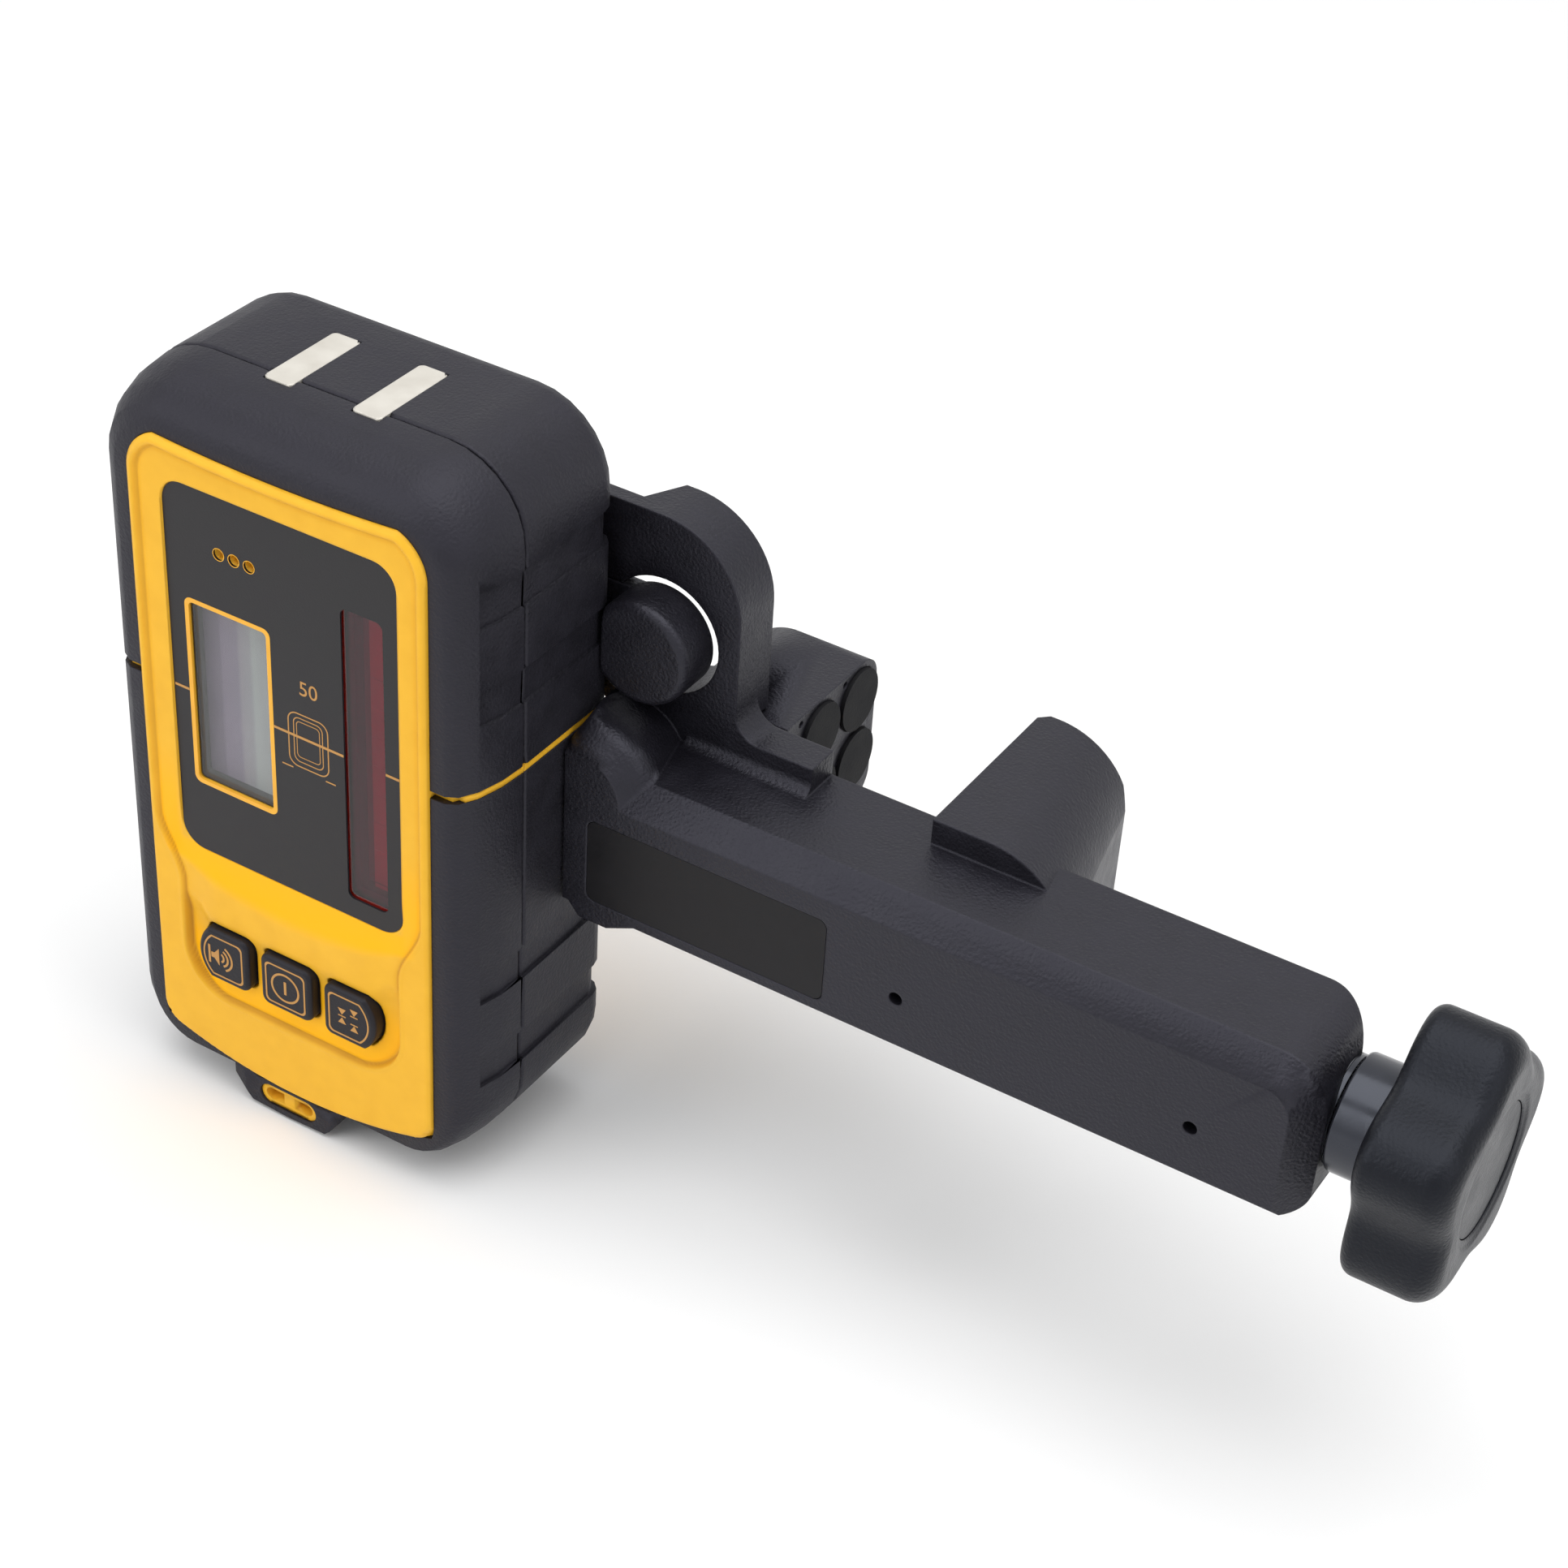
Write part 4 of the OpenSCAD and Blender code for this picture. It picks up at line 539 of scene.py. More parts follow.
# flared end: its upper corner reaches up a little beside the receiver, so no light shows between the two
flare = {"start": 38.5, "left": 34.1, "front": 24.5, "full": 30.0, "back": 37.5, "low": -7.0, "high": -2.0,
         "rise": 2.1}
for v in arm.data.vertices:
    x, y, z = toReceiver @ v.co
    if x < flare["start"] and y < flare["back"] and z > flare["low"]:
        share = ease(flare["start"], flare["left"], x) * ease(flare["front"], flare["full"], y)
        v.co.z += flare["rise"] / 1000 * (share * ease(flare["low"], flare["high"], z))

# latch spring, in the frame's metres, on a mesh of its own
coil = softCopy("latch_spring", 60)
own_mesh(coil)

# fixed jaw's shoulder: a cylinder that follows the jaw's taper
shoulder = {"outer": 109.3, "front": 38.0, "top": -0.6, "radius": 13.0, "taper": 10.878}
leanSin, leanCos = [turn(math.radians(shoulder["taper"])) for turn in (math.sin, math.cos)]
shoulderMiddle = (shoulder["outer"] - shoulder["radius"] * leanCos,
                  shoulder["front"] - shoulder["radius"] * leanSin, shoulder["top"] - shoulder["radius"])
trueRound(arm, shoulderMiddle, (-leanSin, leanCos, 0), shoulder["radius"])

# rubber grips: the outer corner along the seam is broken, so the two halves meet in a groove
seam = {"y": 13.0, "near": 0.25, "flat": 0.95, "side": 0.5, "middleZ": -10.0, "groove": 0.5}


def seamGroove(shape):
    corner = []
    for e in shape.edges:
        if len(e.link_faces) != 2 or any(abs(v.co.y - seam["y"]) > seam["near"] for v in e.verts):
            continue
        flat = [f for f in e.link_faces if abs(f.normal.y) > seam["flat"]]
        side = [f for f in e.link_faces if abs(f.normal.y) < seam["side"]]
        spot = (e.verts[0].co + e.verts[1].co) / 2
        away = Vector((spot.x, 0, spot.z - seam["middleZ"]))
        if len(flat) == 1 and len(side) == 1 and side[0].normal.dot(away) > 0:
            corner.append(e)
    roundEdges(shape, corner, seam["groove"], 2)
    return len(corner)


for node in ("front_grip_upper", "front_grip_lower", "rear_grip_upper", "rear_grip_lower"):
    shape = fromNode(node)
    print(node, "groove edges", seamGroove(shape))
    addPiece(shape, skinName(node), housing, "grip_rubber", (node,))

# bar magnets in the top, with round upright corners
magnetBar = {"tall": 0.5, "round": 0.8}
shape = fromNode("top_magnets")
uprights = [e for e in shape.edges if isHard(e)
            and abs(e.verts[0].co.z - e.verts[1].co.z) > magnetBar["tall"]]
roundEdges(shape, uprights, magnetBar["round"], 5)
addPiece(shape, "topMagnetBars", housing, "magnet", ("top_magnets",))
print("soft copies done")

# front bezel: the shell's own face, levelled, cut fine and shaped round the label and the keys, with painted
# shade in its hollows and along its crease
bezel = {"cell": 0.3, "sheet": -0.5, "frontFrom": -0.25, "low": -70.4, "high": 42.4, "half": 26.4,
         "rim": -0.85, "rimWidth": 1.45, "edgeDrop": 0.55, "edgeWidth": 0.9,
         "openHalf": 22.6, "openLow": -60, "openHigh": 38.5, "sampleStep": 0.15,
         "neckHalf": 25.0, "pocketHalf": 20.7, "neckTop": -24.5, "neckLow": -36.5,
         "pocketLow": -57.0, "pocketCorner": 8.5, "step": (-0.2, 0.4),
         "lip": 0.14, "lipRidge": (-0.4, 0.25), "valley": 0.16, "valleyRidge": (0.45, 0.28),
         "floor": -0.3, "floorRise": 0.35, "floorZ": (-21.0, -28.5), "floorX": (20.9, 23.5),
         "labelLow": -28.9, "crest": -1.1, "crestZ": -35.9, "crestBow": 0.0085,
         "crestEnds": 0.65, "crestX": (13.5, 20.5), "scoopPower": 1.8, "scoopSoft": (-0.12, 0.0, 0.0, 0.12),
         "sink": 0.95, "sinkFrom": -40.5, "sinkTo": -45.5, "sinkClimb": 2.5, "sinkX": (15.0, 18.5),
         "bow": 78.0, "bowMiddle": 7.6, "cornerR": 4.5}
# painted shade: where its colour is deeper in the hollows, and the dark painted shade of the crease along the
# line
bezelShade = {"scoopFrom": 0.9, "scoopTo": -0.2, "scoopWay": (0.72, 1.12), "scoopX": (21.5, 24.5),
             "neck": 0.9, "neckTop": (-10.0, -24.0), "neckLow": (-34.0, -29.0), "neckX": (20.5, 21.5),
             "neckIn": (0.0, 0.8), "pocketZ": (-42.0, -48.5), "pocketIn": (0.0, 1.2),
             "creaseShade": 0.35, "creaseShadeMore": 0.3, "creaseShadeZ": (-20.0, -30.0), "creaseShadeRidge": (0.3, 0.26)}


def lineInside(x, z, edge):
    # how far a point lies inside the line round the label and the keys
    # edge is how far it lies from the face's outer edge
    neck = ease(bezel["neckLow"], bezel["neckTop"], z)
    half = bezel["pocketHalf"] + (bezel["neckHalf"] - bezel["pocketHalf"]) * neck
    r = bezel["pocketCorner"]
    over, under = abs(x) - half + r, bezel["pocketLow"] + r - z
    if over > 0 and under > 0:
        inside = r - math.hypot(over, under)
    else:
        inside = min(half - abs(x), z - bezel["pocketLow"])
    return min(inside, edge - bezel["rimWidth"])


def bezelLevel(x, z, edge):
    # height of the face, how deep the painted shade in its hollows is, and how dark the painted shade along
    # the crease
    inside = lineInside(x, z, edge)
    crestZ = bezel["crestZ"] + bezel["crestBow"] * x * x
    raised = bezel["floorRise"] * ease(*bezel["floorZ"], z) * (1 - ease(*bezel["floorX"], abs(x)))
    floor = bezel["floor"] + raised
    crest = bezel["crest"] + bezel["crestEnds"] * ease(*bezel["crestX"], abs(x))
    way = (bezel["labelLow"] - z) / (bezel["labelLow"] - crestZ)
    ways = [min(1.0, max(0.0, way + k)) ** bezel["scoopPower"] for k in bezel["scoopSoft"]]
    scoop = sum(ways) / len(ways)
    # the recess climbs a little beside the outer keys
    climb = bezel["sinkClimb"] * ease(*bezel["sinkX"], abs(x))
    sink = bezel["sink"] * ease(bezel["sinkFrom"] + climb, bezel["sinkTo"] + climb, z)
    level = floor + (crest - floor) * scoop + sink
    face = bezel["rim"] + (level - bezel["rim"]) * ease(*bezel["step"], inside)
    face -= bezel["lip"] * ridge(inside, *bezel["lipRidge"])
    face += bezel["valley"] * ridge(inside, *bezel["valleyRidge"])
    face += bezel["edgeDrop"] * (1 - ease(0.0, bezel["edgeWidth"], edge)) ** 2
    return face, bezelHollowShade(x, z, inside, way), bezelCreaseShade(z, inside)


def bezelHollowShade(x, z, inside, way):
    # painted shade: deeper yellow in the scoop under the label, down the neck and in the pocket round the
    # keys
    tone = bezelShade
    scooped = ease(bezel["labelLow"] + tone["scoopFrom"], bezel["labelLow"] + tone["scoopTo"], z)
    scooped *= (1 - ease(*tone["scoopWay"], way)) * (1 - ease(*tone["scoopX"], abs(x)))
    neck = tone["neck"] * ease(*tone["neckTop"], z) * ease(*tone["neckLow"], z)
    neck *= ease(*tone["neckX"], abs(x)) * ease(*tone["neckIn"], inside)
    pocket = ease(*tone["pocketZ"], z) * ease(*tone["pocketIn"], inside)
    return min(1.0, scooped + neck + pocket)


def bezelCreaseShade(z, inside):
    # painted shade: a dark line along the crease, darker further down
    dark = bezelShade["creaseShade"] + bezelShade["creaseShadeMore"] * ease(*bezelShade["creaseShadeZ"], z)
    return ridge(inside, *bezelShade["creaseShadeRidge"]) * dark


def roundCorner(co):
    # the lower corners, where the side meets the bowed foot, are drawn in to an arc
    r, bow, tiny = bezel["cornerR"], bezel["bow"], 1e-6
    cx = bezel["half"] - r
    drop = math.sqrt((bow - r) ** 2 - cx ** 2)
    side = 1 if co.x > 0 else -1
    u, w = abs(co.x) - cx, co.z - bezel["bowMiddle"] + drop
    d = math.hypot(u, w)
    if d < tiny or u < 0 or w > 0 or u * drop < -w * cx:
        return
    c, s = u / d, w / d
    along = cx * c - drop * s
    toBow = -along + math.sqrt(along ** 2 + bow ** 2 - (bow - r) ** 2)
    share = r / min(r / max(c, tiny), toBow)
    co.x, co.z = side * (cx + u * share), bezel["bowMiddle"] - drop + w * share


def cutAlong(shape, faces, axis, low, high, cell):
    # parallel cuts, each made only in what still lies beyond the last one
    done, todo, near = [], list(faces), 1e-4
    count = int((high - low) / cell)
    for i in range(1, count):
        spot, normal = Vector((0, 0, 0)), Vector((0, 0, 0))
        spot[axis] = low + (high - low) * i / count
        normal[axis] = 1
        parts = todo + inOrder(e for f in todo for e in f.edges) + inOrder(v for f in todo for v in f.verts)
        cut = bmesh.ops.bisect_plane(shape, geom=parts, dist=1e-5, plane_co=spot, plane_no=normal)
        todo = []
        for f in [g for g in cut["geom"] if isinstance(g, bmesh.types.BMFace)]:
            beyond = max(v.co[axis] for v in f.verts) > spot[axis] + near
            (todo if beyond else done).append(f)
    return done + todo


def buildBezel():
    shape = fromNode("front_housing")
    level, near = bezel["sheet"], 1e-3

    def onSheet(f):
        return all(abs(v.co.y - level) < near for v in f.verts)
    front = [v for v in shape.verts if v.co.y < bezel["frontFrom"]]
    for v in front:
        v.co.y = level
    bmesh.ops.remove_doubles(shape, verts=front, dist=2 * near)
    sheet = [f for f in shape.faces if onSheet(f)]
    edges = inOrder(e for f in sheet for e in f.edges)
    rims = [e for e in edges if sum(abs(f.normal.y) > 0.99 and onSheet(f) for f in e.link_faces) == 1]
    samples = []
    for e in rims:
        p, q = e.verts[0].co, e.verts[1].co
        across = max(abs(p.x), abs(q.x)) < bezel["openHalf"]
        if across and min(p.z, q.z) > bezel["openLow"] and max(p.z, q.z) < bezel["openHigh"]:
            continue  # edges of the label and the keys
        count = max(1, int((q - p).length / bezel["sampleStep"]))
        samples += [p.lerp(q, i / count) for i in range(count)]
    outerEdge = KDTree(len(samples))
    for i, co in enumerate(samples):
        outerEdge.insert(co, i)
    outerEdge.balance()
    held = set(rims)
    bmesh.ops.dissolve_limit(shape, angle_limit=flatAngle, verts=inOrder(v for f in sheet for v in f.verts),
                             edges=[e for e in edges if e not in held])
    sheet = [f for f in shape.faces if onSheet(f)]
    sheet = cutAlong(shape, sheet, 2, bezel["low"], bezel["high"], bezel["cell"])
    sheet = cutAlong(shape, sheet, 0, -bezel["half"], bezel["half"], bezel["cell"])
    shadeMark = shape.verts.layers.float.new("hollow")
    creaseShade = shape.verts.layers.float.new("creaseShade")
    # each point takes its height, and the painted shade of the hollows and the crease
    for v in inOrder(v for f in sheet for v in f.verts):
        v.co.y, v[shadeMark], v[creaseShade] = bezelLevel(v.co.x, v.co.z, outerEdge.find(v.co)[2])
        roundCorner(v.co)
    print("bezel faces", len(shape.faces), "rim samples", len(samples))
    return addPiece(shape, "frontHousingSkin", housing, "yellow_shell", ("front_housing",), 50)


buildBezel()

# three rubber keys with rounded fronts, and their printed signs
keys = {"front": -2.2, "middle": -47.2, "pitch": 12.2, "half": 4.9, "round": 0.75, "sunk": 0.04,
        "border": 1.05, "line": 0.28, "corner": 0.9, "arc": 1.35, "arcShift": 0.35}
soundLook = {"bar": 0.42, "barX": -2.65, "barHalf": 1.75, "cone": ((-2.3, 0.5), (-1.7, 0.5), (-0.75, 1.65)),
             "wave": 0.36, "waveX": -0.7, "waves": (0.85, 1.65, 2.45), "spread": 62}
powerLook = {"outer": 2.75, "inner": 2.38, "barHalf": 1.25, "bar": 0.46}
rangeLook = {"near": (-1.25, 0.28), "wide": (1.05, 0.95), "half": 0.75, "tall": 1.15,
             "barHalf": 0.7, "bar": 0.2, "barGap": 0.16}


def keyBorder(side, inset):
    # the outer keys have one round side
    s = keys["half"] - inset
    x, z, r, k = side * keys["pitch"], keys["middle"], keys["corner"], keys["arc"]
    if side == 0:
        return roundLoop(x, z, 2 * s, 2 * s, r)
    reach = math.degrees(math.asin(1 / k))
    turns = [math.radians(a) for a in [reach * (1 - i / 10) for i in range(21)]]
    arc = [(k * s * math.cos(a) - keys["arcShift"] * s, k * s * math.sin(a)) for a in turns]
    bends = [math.radians(9 * i) for i in range(11)]
    corner = [(-s + r - r * math.sin(a), -s + r - r * math.cos(a)) for a in bends]
    upper = [(u, -w) for u, w in reversed(corner)]
    return [(x + side * u, z + w) for u, w in arc + corner + upper]


def buildKey(node, side, signs):
    shape = fromNode(node)
    bmesh.ops.dissolve_limit(shape, angle_limit=math.radians(0.5), verts=shape.verts, edges=shape.edges)
    for v in shape.verts:
        if v.co.y < keys["front"] + 0.01:
            v.co.y += keys["sunk"]  # the printed sign stands in this much
    rim = [e for e in shape.edges if all(v.co.y < keys["front"] + keys["sunk"] + 0.02 for v in e.verts)]
    roundEdges(shape, rim, keys["round"], 5, False)
    word = node.split("_")[0]
    addPiece(shape, word + "Key", bodyOf[node], "key_rubber", (node,), 50)
    border = [keyBorder(side, keys["border"]), keyBorder(side, keys["border"] + keys["line"])]
    printed(word + "KeySign", border + signs, keys["front"] + keys["sunk"], bodyOf[node], "yellow_shell")


def soundSign(x, z):
    look = soundLook
    cone = [(x + u, z + w) for u, w in look["cone"]] + [(x + u, z - w) for u, w in reversed(look["cone"])]
    reach = look["spread"]
    waves = [arcBand(x + look["waveX"], z, r, look["wave"], -reach, reach) for r in look["waves"]]
    bar = barLoop(x + look["barX"], z - look["barHalf"], x + look["barX"], z + look["barHalf"], look["bar"])
    return [bar, cone] + waves


def powerSign(x, z):
    bar = barLoop(x, z - powerLook["barHalf"], x, z + powerLook["barHalf"], powerLook["bar"])
    return [circleLoop(x, z, powerLook["outer"]), circleLoop(x, z, powerLook["inner"]), bar]


def rangeSign(x, z):
    # pairs of arrows: close together on one bar, and wide apart on two
    look, loops = rangeLook, []

    def bar(column, height):
        return barLoop(column - look["barHalf"], height, column + look["barHalf"], height, look["bar"])
    for place in ("near", "wide"):
        column, gap = x + look[place][0], look[place][1]
        for way in (1, -1):
            tip = z + way * gap
            top = tip + way * look["tall"]
            loops.append([(column, tip), (column + look["half"], top), (column - look["half"], top)])
            if place == "wide":
                loops.append(bar(column, tip - way * look["barGap"]))
        if place == "near":
            loops.append(bar(column, z))
    return loops


buildKey("sound_button", -1, soundSign(-keys["pitch"], keys["middle"]))
buildKey("power_button", 0, powerSign(0, keys["middle"]))
buildKey("range_button", 1, rangeSign(keys["pitch"], keys["middle"]))
print("keys done")

# label prints
label = {"face": 0.05, "line": 0.42, "grade": ((-20.2, -17.5), (-1.7, 11.0), (18.6, 21.0)),
         "holes": (-10.5, -7.75, -5.0), "holeZ": 25.9, "holeR": 0.95, "holeRim": 0.1, "rimThick": 0.04}
plumb = {"x": 4.6, "rings": ((-0.6, 7.4, 9.6, 1.7), (-0.6, 7.0, 9.2, 1.5), (-0.5, 5.4, 7.9, 1.1),
                             (-0.5, 5.1, 7.6, 1.0), (-0.4, 4.3, 6.4, 0.7), (-0.4, 4.05, 6.15, 0.6)),
         "ticks": ((-0.4, 1.6), (7.6, 9.4)), "tickZ": -5.9, "tickLine": 0.22, "thick": 0.025}
gradeLine = [barLoop(x0, 0, x1, 0, label["line"]) for x0, x1 in label["grade"]]
printed("gradeLine", gradeLine, label["face"], housing, "label_film")
plumbSign = [roundLoop(plumb["x"], *ring) for ring in plumb["rings"]]
plumbSign += [barLoop(x0, plumb["tickZ"], x1, plumb["tickZ"], plumb["tickLine"]) for x0, x1 in plumb["ticks"]]
printed("plumbSign", plumbSign, label["face"], housing, "label_film", plumb["thick"])
holeRims = [circleLoop(x, label["holeZ"], r) for x in label["holes"]
            for r in (label["holeR"] + label["holeRim"], label["holeR"])]
printed("soundHoleRims", holeRims, label["face"], housing, "yellow_shell", label["rimThick"], "windowLip")

# the display's lip, and the frames inside both openings
display = {"middle": (-9.6, 0), "lip": (15.7, 32.9, 1.3), "lipIn": (14.2, 31.4, 0.8), "lipBack": 0.44,
           "lipThick": 0.42, "lipRound": 0.12, "frame": (14.9, 32.1, 0.8), "frameIn": (13.9, 31.1, 0.5),
           "frameBack": 3.25, "frameThick": 1.75}
sensor = {"middle": (14.8, 0), "frame": (7.35, 50.9, 0.5), "frameIn": (6.7, 50.2, 0.4), "frameBack": 3.15,
          "frameThick": 1.65}


def windowRing(look, kind):
    loops = [roundLoop(*look["middle"], *look[k]) for k in (kind, kind + "In")]
    return flatShape(loops, look[kind + "Back"], look[kind + "Thick"])


lip = windowRing(display, "lip")
roundEdges(lip, frontEdges(lip, display["lipBack"] - display["lipThick"]), display["lipRound"], 2)
addPiece(lip, "displayLip", housing, "yellow_shell", (), 40, "windowLip")
for name, look in (("displayFrame", display), ("sensorFrame", sensor)):
    addPiece(windowRing(look, "frame"), name, housing, "circuit_parts", (), 40)

# filter film on the sensor's cells
film = {"middle": 14.8, "wide": 3.0, "pitch": 5.1, "gap": 0.12, "count": 9, "corner": 0.1, "face": 4.2,
        "thick": 0.05}
filmSteps = [film["pitch"] * (i - (film["count"] - 1) / 2) for i in range(film["count"])]
filmCells = [roundLoop(film["middle"], z, film["wide"], film["pitch"] - film["gap"], film["corner"])
             for z in filmSteps]
addPiece(flatShape(filmCells, film["face"], film["thick"]), "sensorFilm", housing, slotOf["photodiode_strip"],
         (), 30, "filterFilm")

# clear panes
panes = {"display_window": (-9.6, 0.0, 16.2, 33.4, 1.2), "sensor_window": (14.8, 0.0, 8.6, 52.2, 0.8)}
paneLook = {"back": 1.45, "thick": 1.0, "round": 0.25}
for node, outline in panes.items():
    slab = flatShape([roundLoop(*outline)], paneLook["back"], paneLook["thick"])
    roundEdges(slab, frontEdges(slab, paneLook["back"] - paneLook["thick"]), paneLook["round"], 2)
    addPiece(slab, node.split("_")[0] + "Pane", housing, slotOf[node], (node,), 30)

# the number beside the grade line
numbers = {"text": "50", "size": 3.5, "place": (4.9, 7.6), "half": 0.015}
draftText = bpy.data.curves.new("numberDraft", "FONT")
draftText.body = numbers["text"]
draftText.size = numbers["size"]
draftText.align_x = "CENTER"
draftText.extrude = numbers["half"]
digits = fromCurve(draftText)
numberX, numberZ = numbers["place"]
bmesh.ops.translate(digits, vec=(numberX, label["face"] - numbers["half"], numberZ), verts=digits.verts)
addPiece(digits, "labelNumber", housing, "label_film", (), 30, "printInk")
print("label done")

# knob: lobed rings bridged one to the next, rounded front and back, with a shallow dish round the cap
knob = {"start": 155.9, "body": 162.9, "end": 176.9, "axis": (34.7, -17.5), "middle": 18.5, "steps": 160,
        "lobe": 2.0, "lobes": 5, "turn": 225.0, "collar": 8.8, "collarShow": 0.3, "bore": 4.06,
        "boreEnd": 171.9,
        "collarEdge": ((0.0, -0.5), (0.15, -0.15), (0.5, 0.0)),
        "collarFoot": ((-0.5, 0.0, 0), (-0.1, 0.2, 0.02), (0.0, 0.8, 0.05)),
        "backRound": 2.0, "backSteps": 8, "frontRound": 4.0, "frontSteps": 12, "frontFade": 0.25,
        "dish": ((0.0, 12.2, 0.2), (-0.05, 11.6, 0), (-0.3, 11.2, 0)),
        "cap": 10.15, "capEdge": ((-0.3, 0.25), (-0.5, 0.0)), "capFloor": 174.7}


def knobRings():
    # place along the screw, radius, and share of the lobes
    rings = [(knob["boreEnd"], knob["bore"], 0), (knob["start"], knob["bore"], 0)]
    rings += [(knob["start"] + dx, knob["collar"] + dr, 0) for dx, dr in knob["collarEdge"]]
    rings += [(knob["body"] + dx, knob["collar"] + dr, lobed) for dx, dr, lobed in knob["collarFoot"]]
    r, steps = knob["backRound"], knob["backSteps"]
    for i in range(steps + 1):
        a = math.radians(90 * i / steps)
        rings.append((knob["body"] + r - r * math.cos(a), knob["middle"] - r + r * math.sin(a), 1))
    r, steps = knob["frontRound"], knob["frontSteps"]
    for i in range(steps + 1):
        a = math.radians(90 * i / steps)
        lobed = 1 - knob["frontFade"] * i / steps
        rings.append((knob["end"] - r + r * math.sin(a), knob["middle"] - r + r * math.cos(a), lobed))
    rings += [(knob["end"] + dx, r, lobed) for dx, r, lobed in knob["dish"]]
    rings += [(knob["end"] + dx, knob["cap"] + dr, 0) for dx, dr in knob["capEdge"]]
    return rings + [(knob["capFloor"], knob["cap"], 0)]


def bridgeRings(shape, rings, steps):
    # rings round the screw's axis, closed at both ends
    last = None
    for x, r, lobed in rings:
        ring = bmesh.ops.create_circle(shape, segments=steps, radius=1.0)["verts"]
        for i, v in enumerate(ring):
            a = math.tau * i / steps
            reach = r + lobed * knob["lobe"] * math.cos(knob["lobes"] * (a - math.radians(knob["turn"])))
            v.co = (x, knob["axis"][0] + reach * math.cos(a), knob["axis"][1] + reach * math.sin(a))
        edges = inOrder(e for v in ring for e in v.link_edges)
        if last:
            bmesh.ops.bridge_loops(shape, edges=last + edges)
        else:
            bmesh.ops.contextual_create(shape, geom=edges)
        last = edges
    bmesh.ops.contextual_create(shape, geom=last)
    bmesh.ops.recalc_face_normals(shape, faces=shape.faces)


def buildKnob():
    shape = bmesh.new()
    bridgeRings(shape, knobRings(), knob["steps"])
    piece = addPiece(shape, "knobGrip", "knob", "knob_plastic", ("clamp_knob",), 45)
    piece.data.materials.append(finish["collarGloss"])
    collarEnd = at(knob["body"] - knob["collarShow"], 0, 0).x
    for face in piece.data.polygons:
        face.material_index = 1 if face.center.x < collarEnd else 0
    return piece


buildKnob()

# clamp screw: a rolled thread on a plain core
thread = {"left": 38.0, "right": 148.0, "end": 171.8, "outer": 3.98, "inner": 3.35, "pitch": 1.5, "steps": 20,
          "flanks": (0.38, 0.62), "merge": 0.01, "coreSteps": 40, "tip": 1.0, "tipDrop": 0.9, "sunk": 0.02,
          "runOut": (1.0, 1.6)}


def buildThread():
    shape = bmesh.new()
    y, z = knob["axis"]
    left, right, outer, inner = thread["left"], thread["right"], thread["outer"], thread["inner"]
    rise, fall = thread["flanks"]
    outline = ((0.0, inner), (rise, outer), (fall, outer), (1.0, inner))
    profile = [shape.verts.new((left + dx * thread["pitch"], y, z + r)) for dx, r in outline]
    edges = [shape.edges.new(pair) for pair in zip(profile, profile[1:])]
    turns = int((right - left) / thread["pitch"])
    bmesh.ops.spin(shape, geom=profile + edges, cent=(left, y, z), axis=(1, 0, 0),
                   dvec=(thread["pitch"] / thread["steps"], 0, 0), angle=math.tau * turns,
                   steps=thread["steps"] * turns, use_merge=False)
    bmesh.ops.remove_doubles(shape, verts=shape.verts, dist=thread["merge"])
    bmesh.ops.recalc_face_normals(shape, faces=shape.faces)
    coreR = inner + thread["sunk"]
    coreEnd, plainStart = [right + d for d in thread["runOut"]]
    core = [(left - thread["tip"], inner - thread["tipDrop"], 0), (left, coreR, 0), (coreEnd, coreR, 0),
            (plainStart, outer, 0), (thread["end"], outer, 0)]
    bridgeRings(shape, core, thread["coreSteps"])
    return addPiece(shape, "clampThread", "knob", "screw_steel", ("clamp_screw",), 40)


buildThread()
print("knob and thread done")

# stage, light and camera
stageLook = {"white": 0.95, "rough": 0.9, "size": 4.0, "drop": 0.0005, "fadeFrom": 0.32, "fadeTo": 0.75}
floorMesh = bpy.data.meshes.new("studioFloor")
shape = bmesh.new()
bmesh.ops.create_grid(shape, x_segments=2, y_segments=2, size=stageLook["size"])
bmesh.ops.translate(shape, vec=(0, 0, cadBox[0].z - stageLook["drop"]), verts=shape.verts)
shape.to_mesh(floorMesh)
shape.free()
floor = bpy.data.objects.new("studioFloor", floorMesh)
bpy.context.scene.collection.objects.link(floor)
floorMat, floorTree, paper = newMaterial("studioPaper")
paper.inputs["Base Color"].default_value = (stageLook["white"],) * 3 + (1,)
paper.inputs["Roughness"].default_value = stageLook["rough"]
# far out the paper runs into the white background, for the camera only
away = floorTree.nodes.new("ShaderNodeVectorMath")
away.operation = "LENGTH"
floorTree.links.new(objectCoords(floorTree), away.inputs[0])
fade = spread(floorTree, away.outputs["Value"], 0.0, 1.0, stageLook["fadeFrom"], stageLook["fadeTo"])
seenByCamera = floorTree.nodes.new("ShaderNodeLightPath").outputs["Is Camera Ray"]
glow = floorTree.nodes.new("ShaderNodeEmission")
both = floorTree.nodes.new("ShaderNodeMixShader")
floorTree.links.new(addMath(floorTree, "MULTIPLY", fade, seenByCamera), both.inputs[0])
floorTree.links.new(paper.outputs[0], both.inputs[1])
floorTree.links.new(glow.outputs[0], both.inputs[2])
floorTree.links.new(both.outputs[0], floorTree.nodes["Material Output"].inputs["Surface"])
floorMesh.materials.append(floorMat)

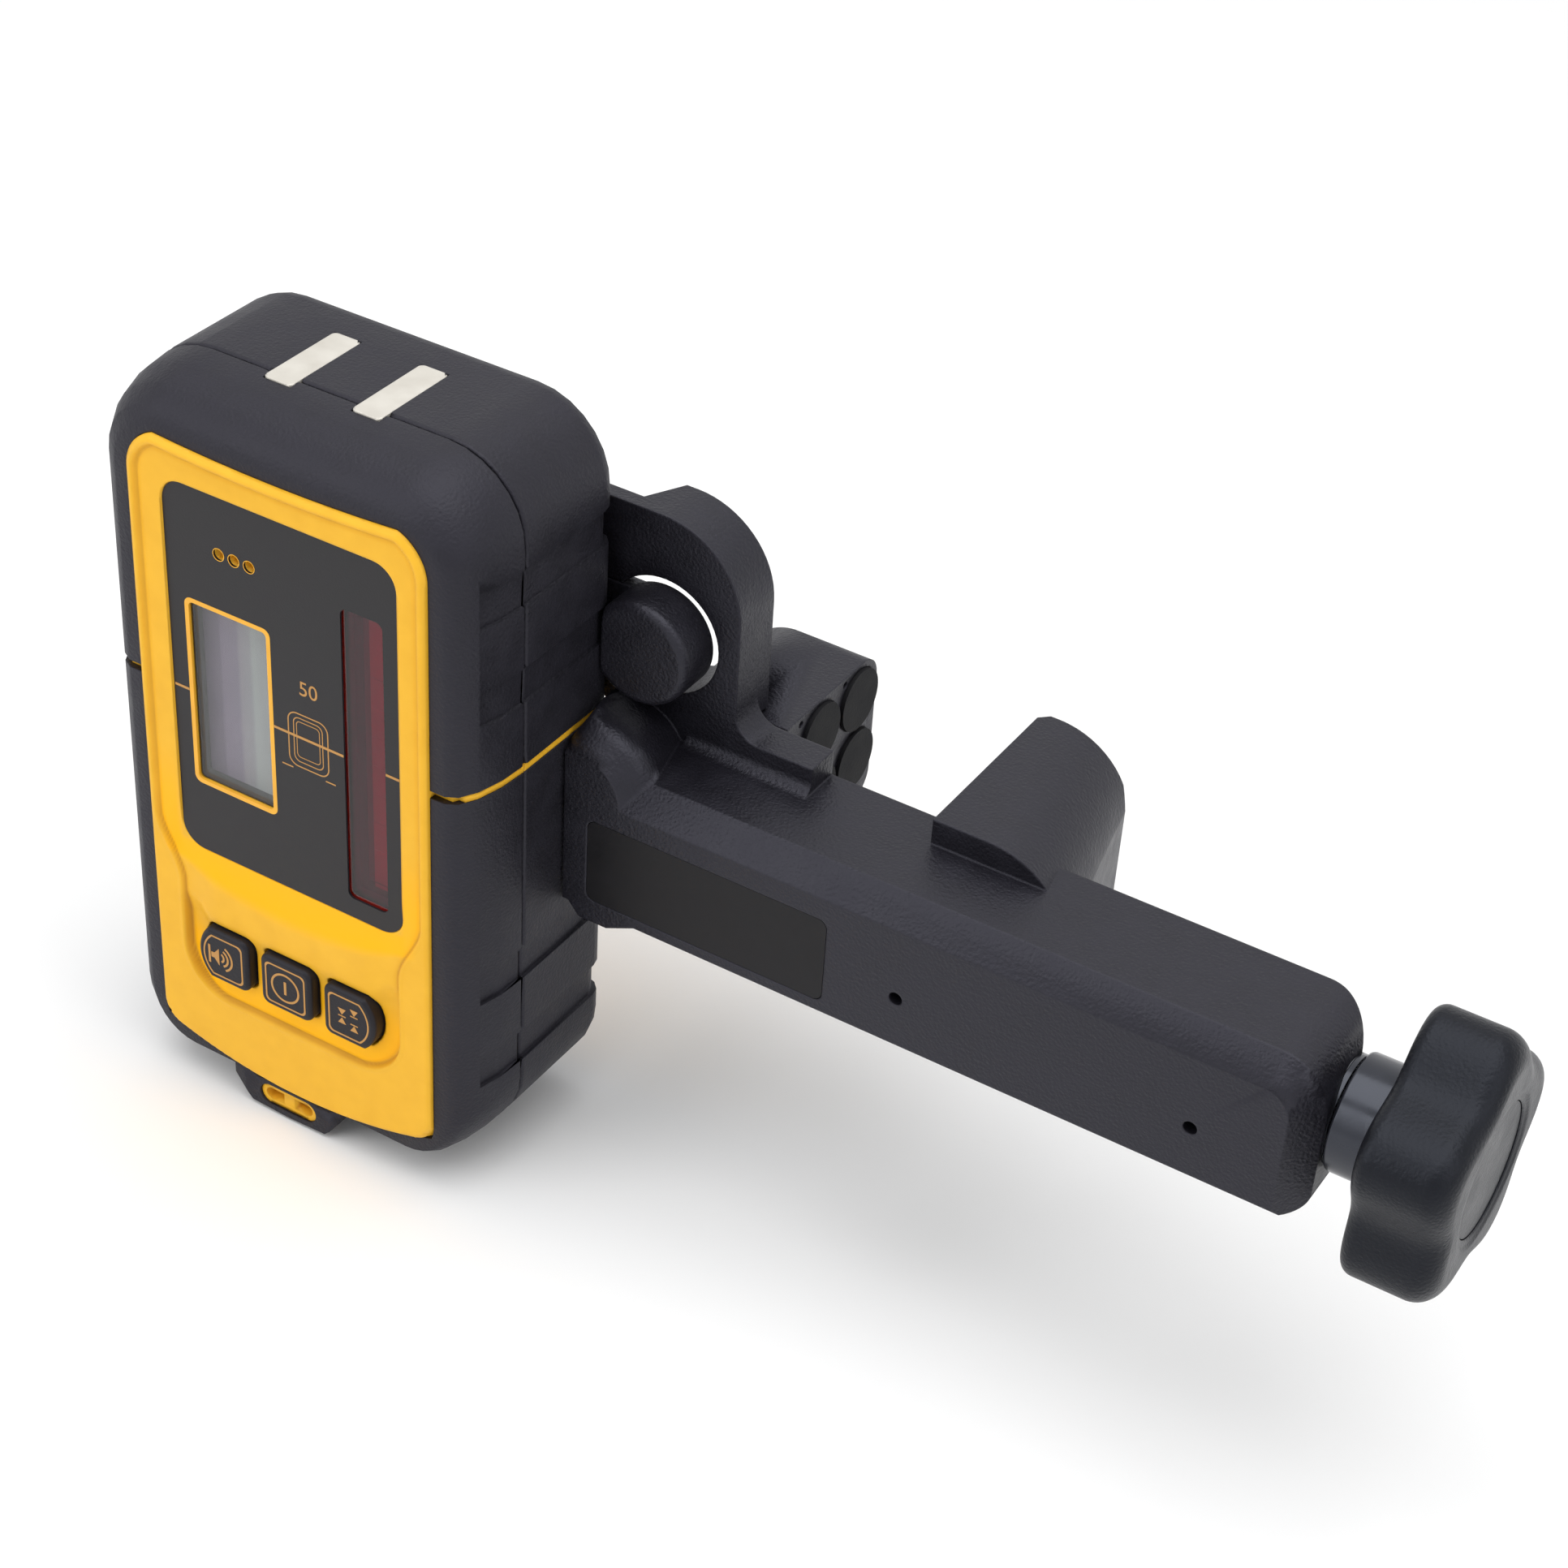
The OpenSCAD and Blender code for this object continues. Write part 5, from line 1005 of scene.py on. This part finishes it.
lamps = {
    "overhead": dict(place=(0.1, -0.1, 1.2), aim=(0, 0, 0), size=1.4, power=13.5),
    "frontSoft": dict(place=(-0.7, -1.1, 0.7), aim=(0, 0, 0), size=0.9, power=5.4),
    "rightStrip": dict(place=(1.1, -0.2, 0.6), aim=(0.05, 0, 0), size=0.6, power=1.2),
}
for name, lamp in lamps.items():
    data = bpy.data.lights.new(name, "AREA")
    data.size = lamp["size"]
    data.energy = lamp["power"]
    lampObject = bpy.data.objects.new(name, data)
    bpy.context.scene.collection.objects.link(lampObject)
    lampObject.location = lamp["place"]
    aim = Vector(lamp["aim"]) - Vector(lamp["place"])
    lampObject.rotation_euler = aim.to_track_quat("-Z", "Y").to_euler()

# white where the camera, a gloss or a pane looks at it, and half as bright as a light
skyLook = {"light": 0.5, "more": 0.5}
world = bpy.data.worlds.new("studioWorld")
bpy.context.scene.world = world
world.use_nodes = True
skyTree = world.node_tree
sky = skyTree.nodes["Background"]
sky.inputs["Color"].default_value = (1, 1, 1, 1)
path = skyTree.nodes.new("ShaderNodeLightPath")
mirrored = addMath(skyTree, "MAXIMUM", path.outputs["Is Glossy Ray"], path.outputs["Is Transmission Ray"])
seen = addMath(skyTree, "MAXIMUM", path.outputs["Is Camera Ray"], mirrored)
strength = addMath(skyTree, "ADD", addMath(skyTree, "MULTIPLY", seen, skyLook["more"]), skyLook["light"])
skyTree.links.new(strength, sky.inputs["Strength"])

shot = {"azimuth": 29.62595, "elevation": 36.13277, "roll": 3.94192, "focal": 3978.67, "frame": 1932,
        "sensor": 36, "place": (250.54, -293.29, 273.11)}


def sinCos(degrees):
    return math.sin(math.radians(degrees)), math.cos(math.radians(degrees))


(sa, ca), (se, ce), (sr, cr) = [sinCos(shot[k]) for k in ("azimuth", "elevation", "roll")]
forward = Vector((-sa * ce, ca * ce, -se))
across = Vector((ca, sa, 0))
down = forward.cross(across)
right, low = cr * across - sr * down, sr * across + cr * down
turn = Matrix((right, -low, -forward)).transposed()
cameraData = bpy.data.cameras.new("photoCamera")
cameraData.sensor_width = shot["sensor"]
cameraData.lens = shot["sensor"] * shot["focal"] / shot["frame"]
camera = bpy.data.objects.new("photoCamera", cameraData)
bpy.context.scene.collection.objects.link(camera)
camera.matrix_world = Matrix.Translation(at(*shot["place"])) @ turn.to_4x4()
bpy.context.scene.camera = camera
bpy.context.scene.view_settings.view_transform = "Standard"
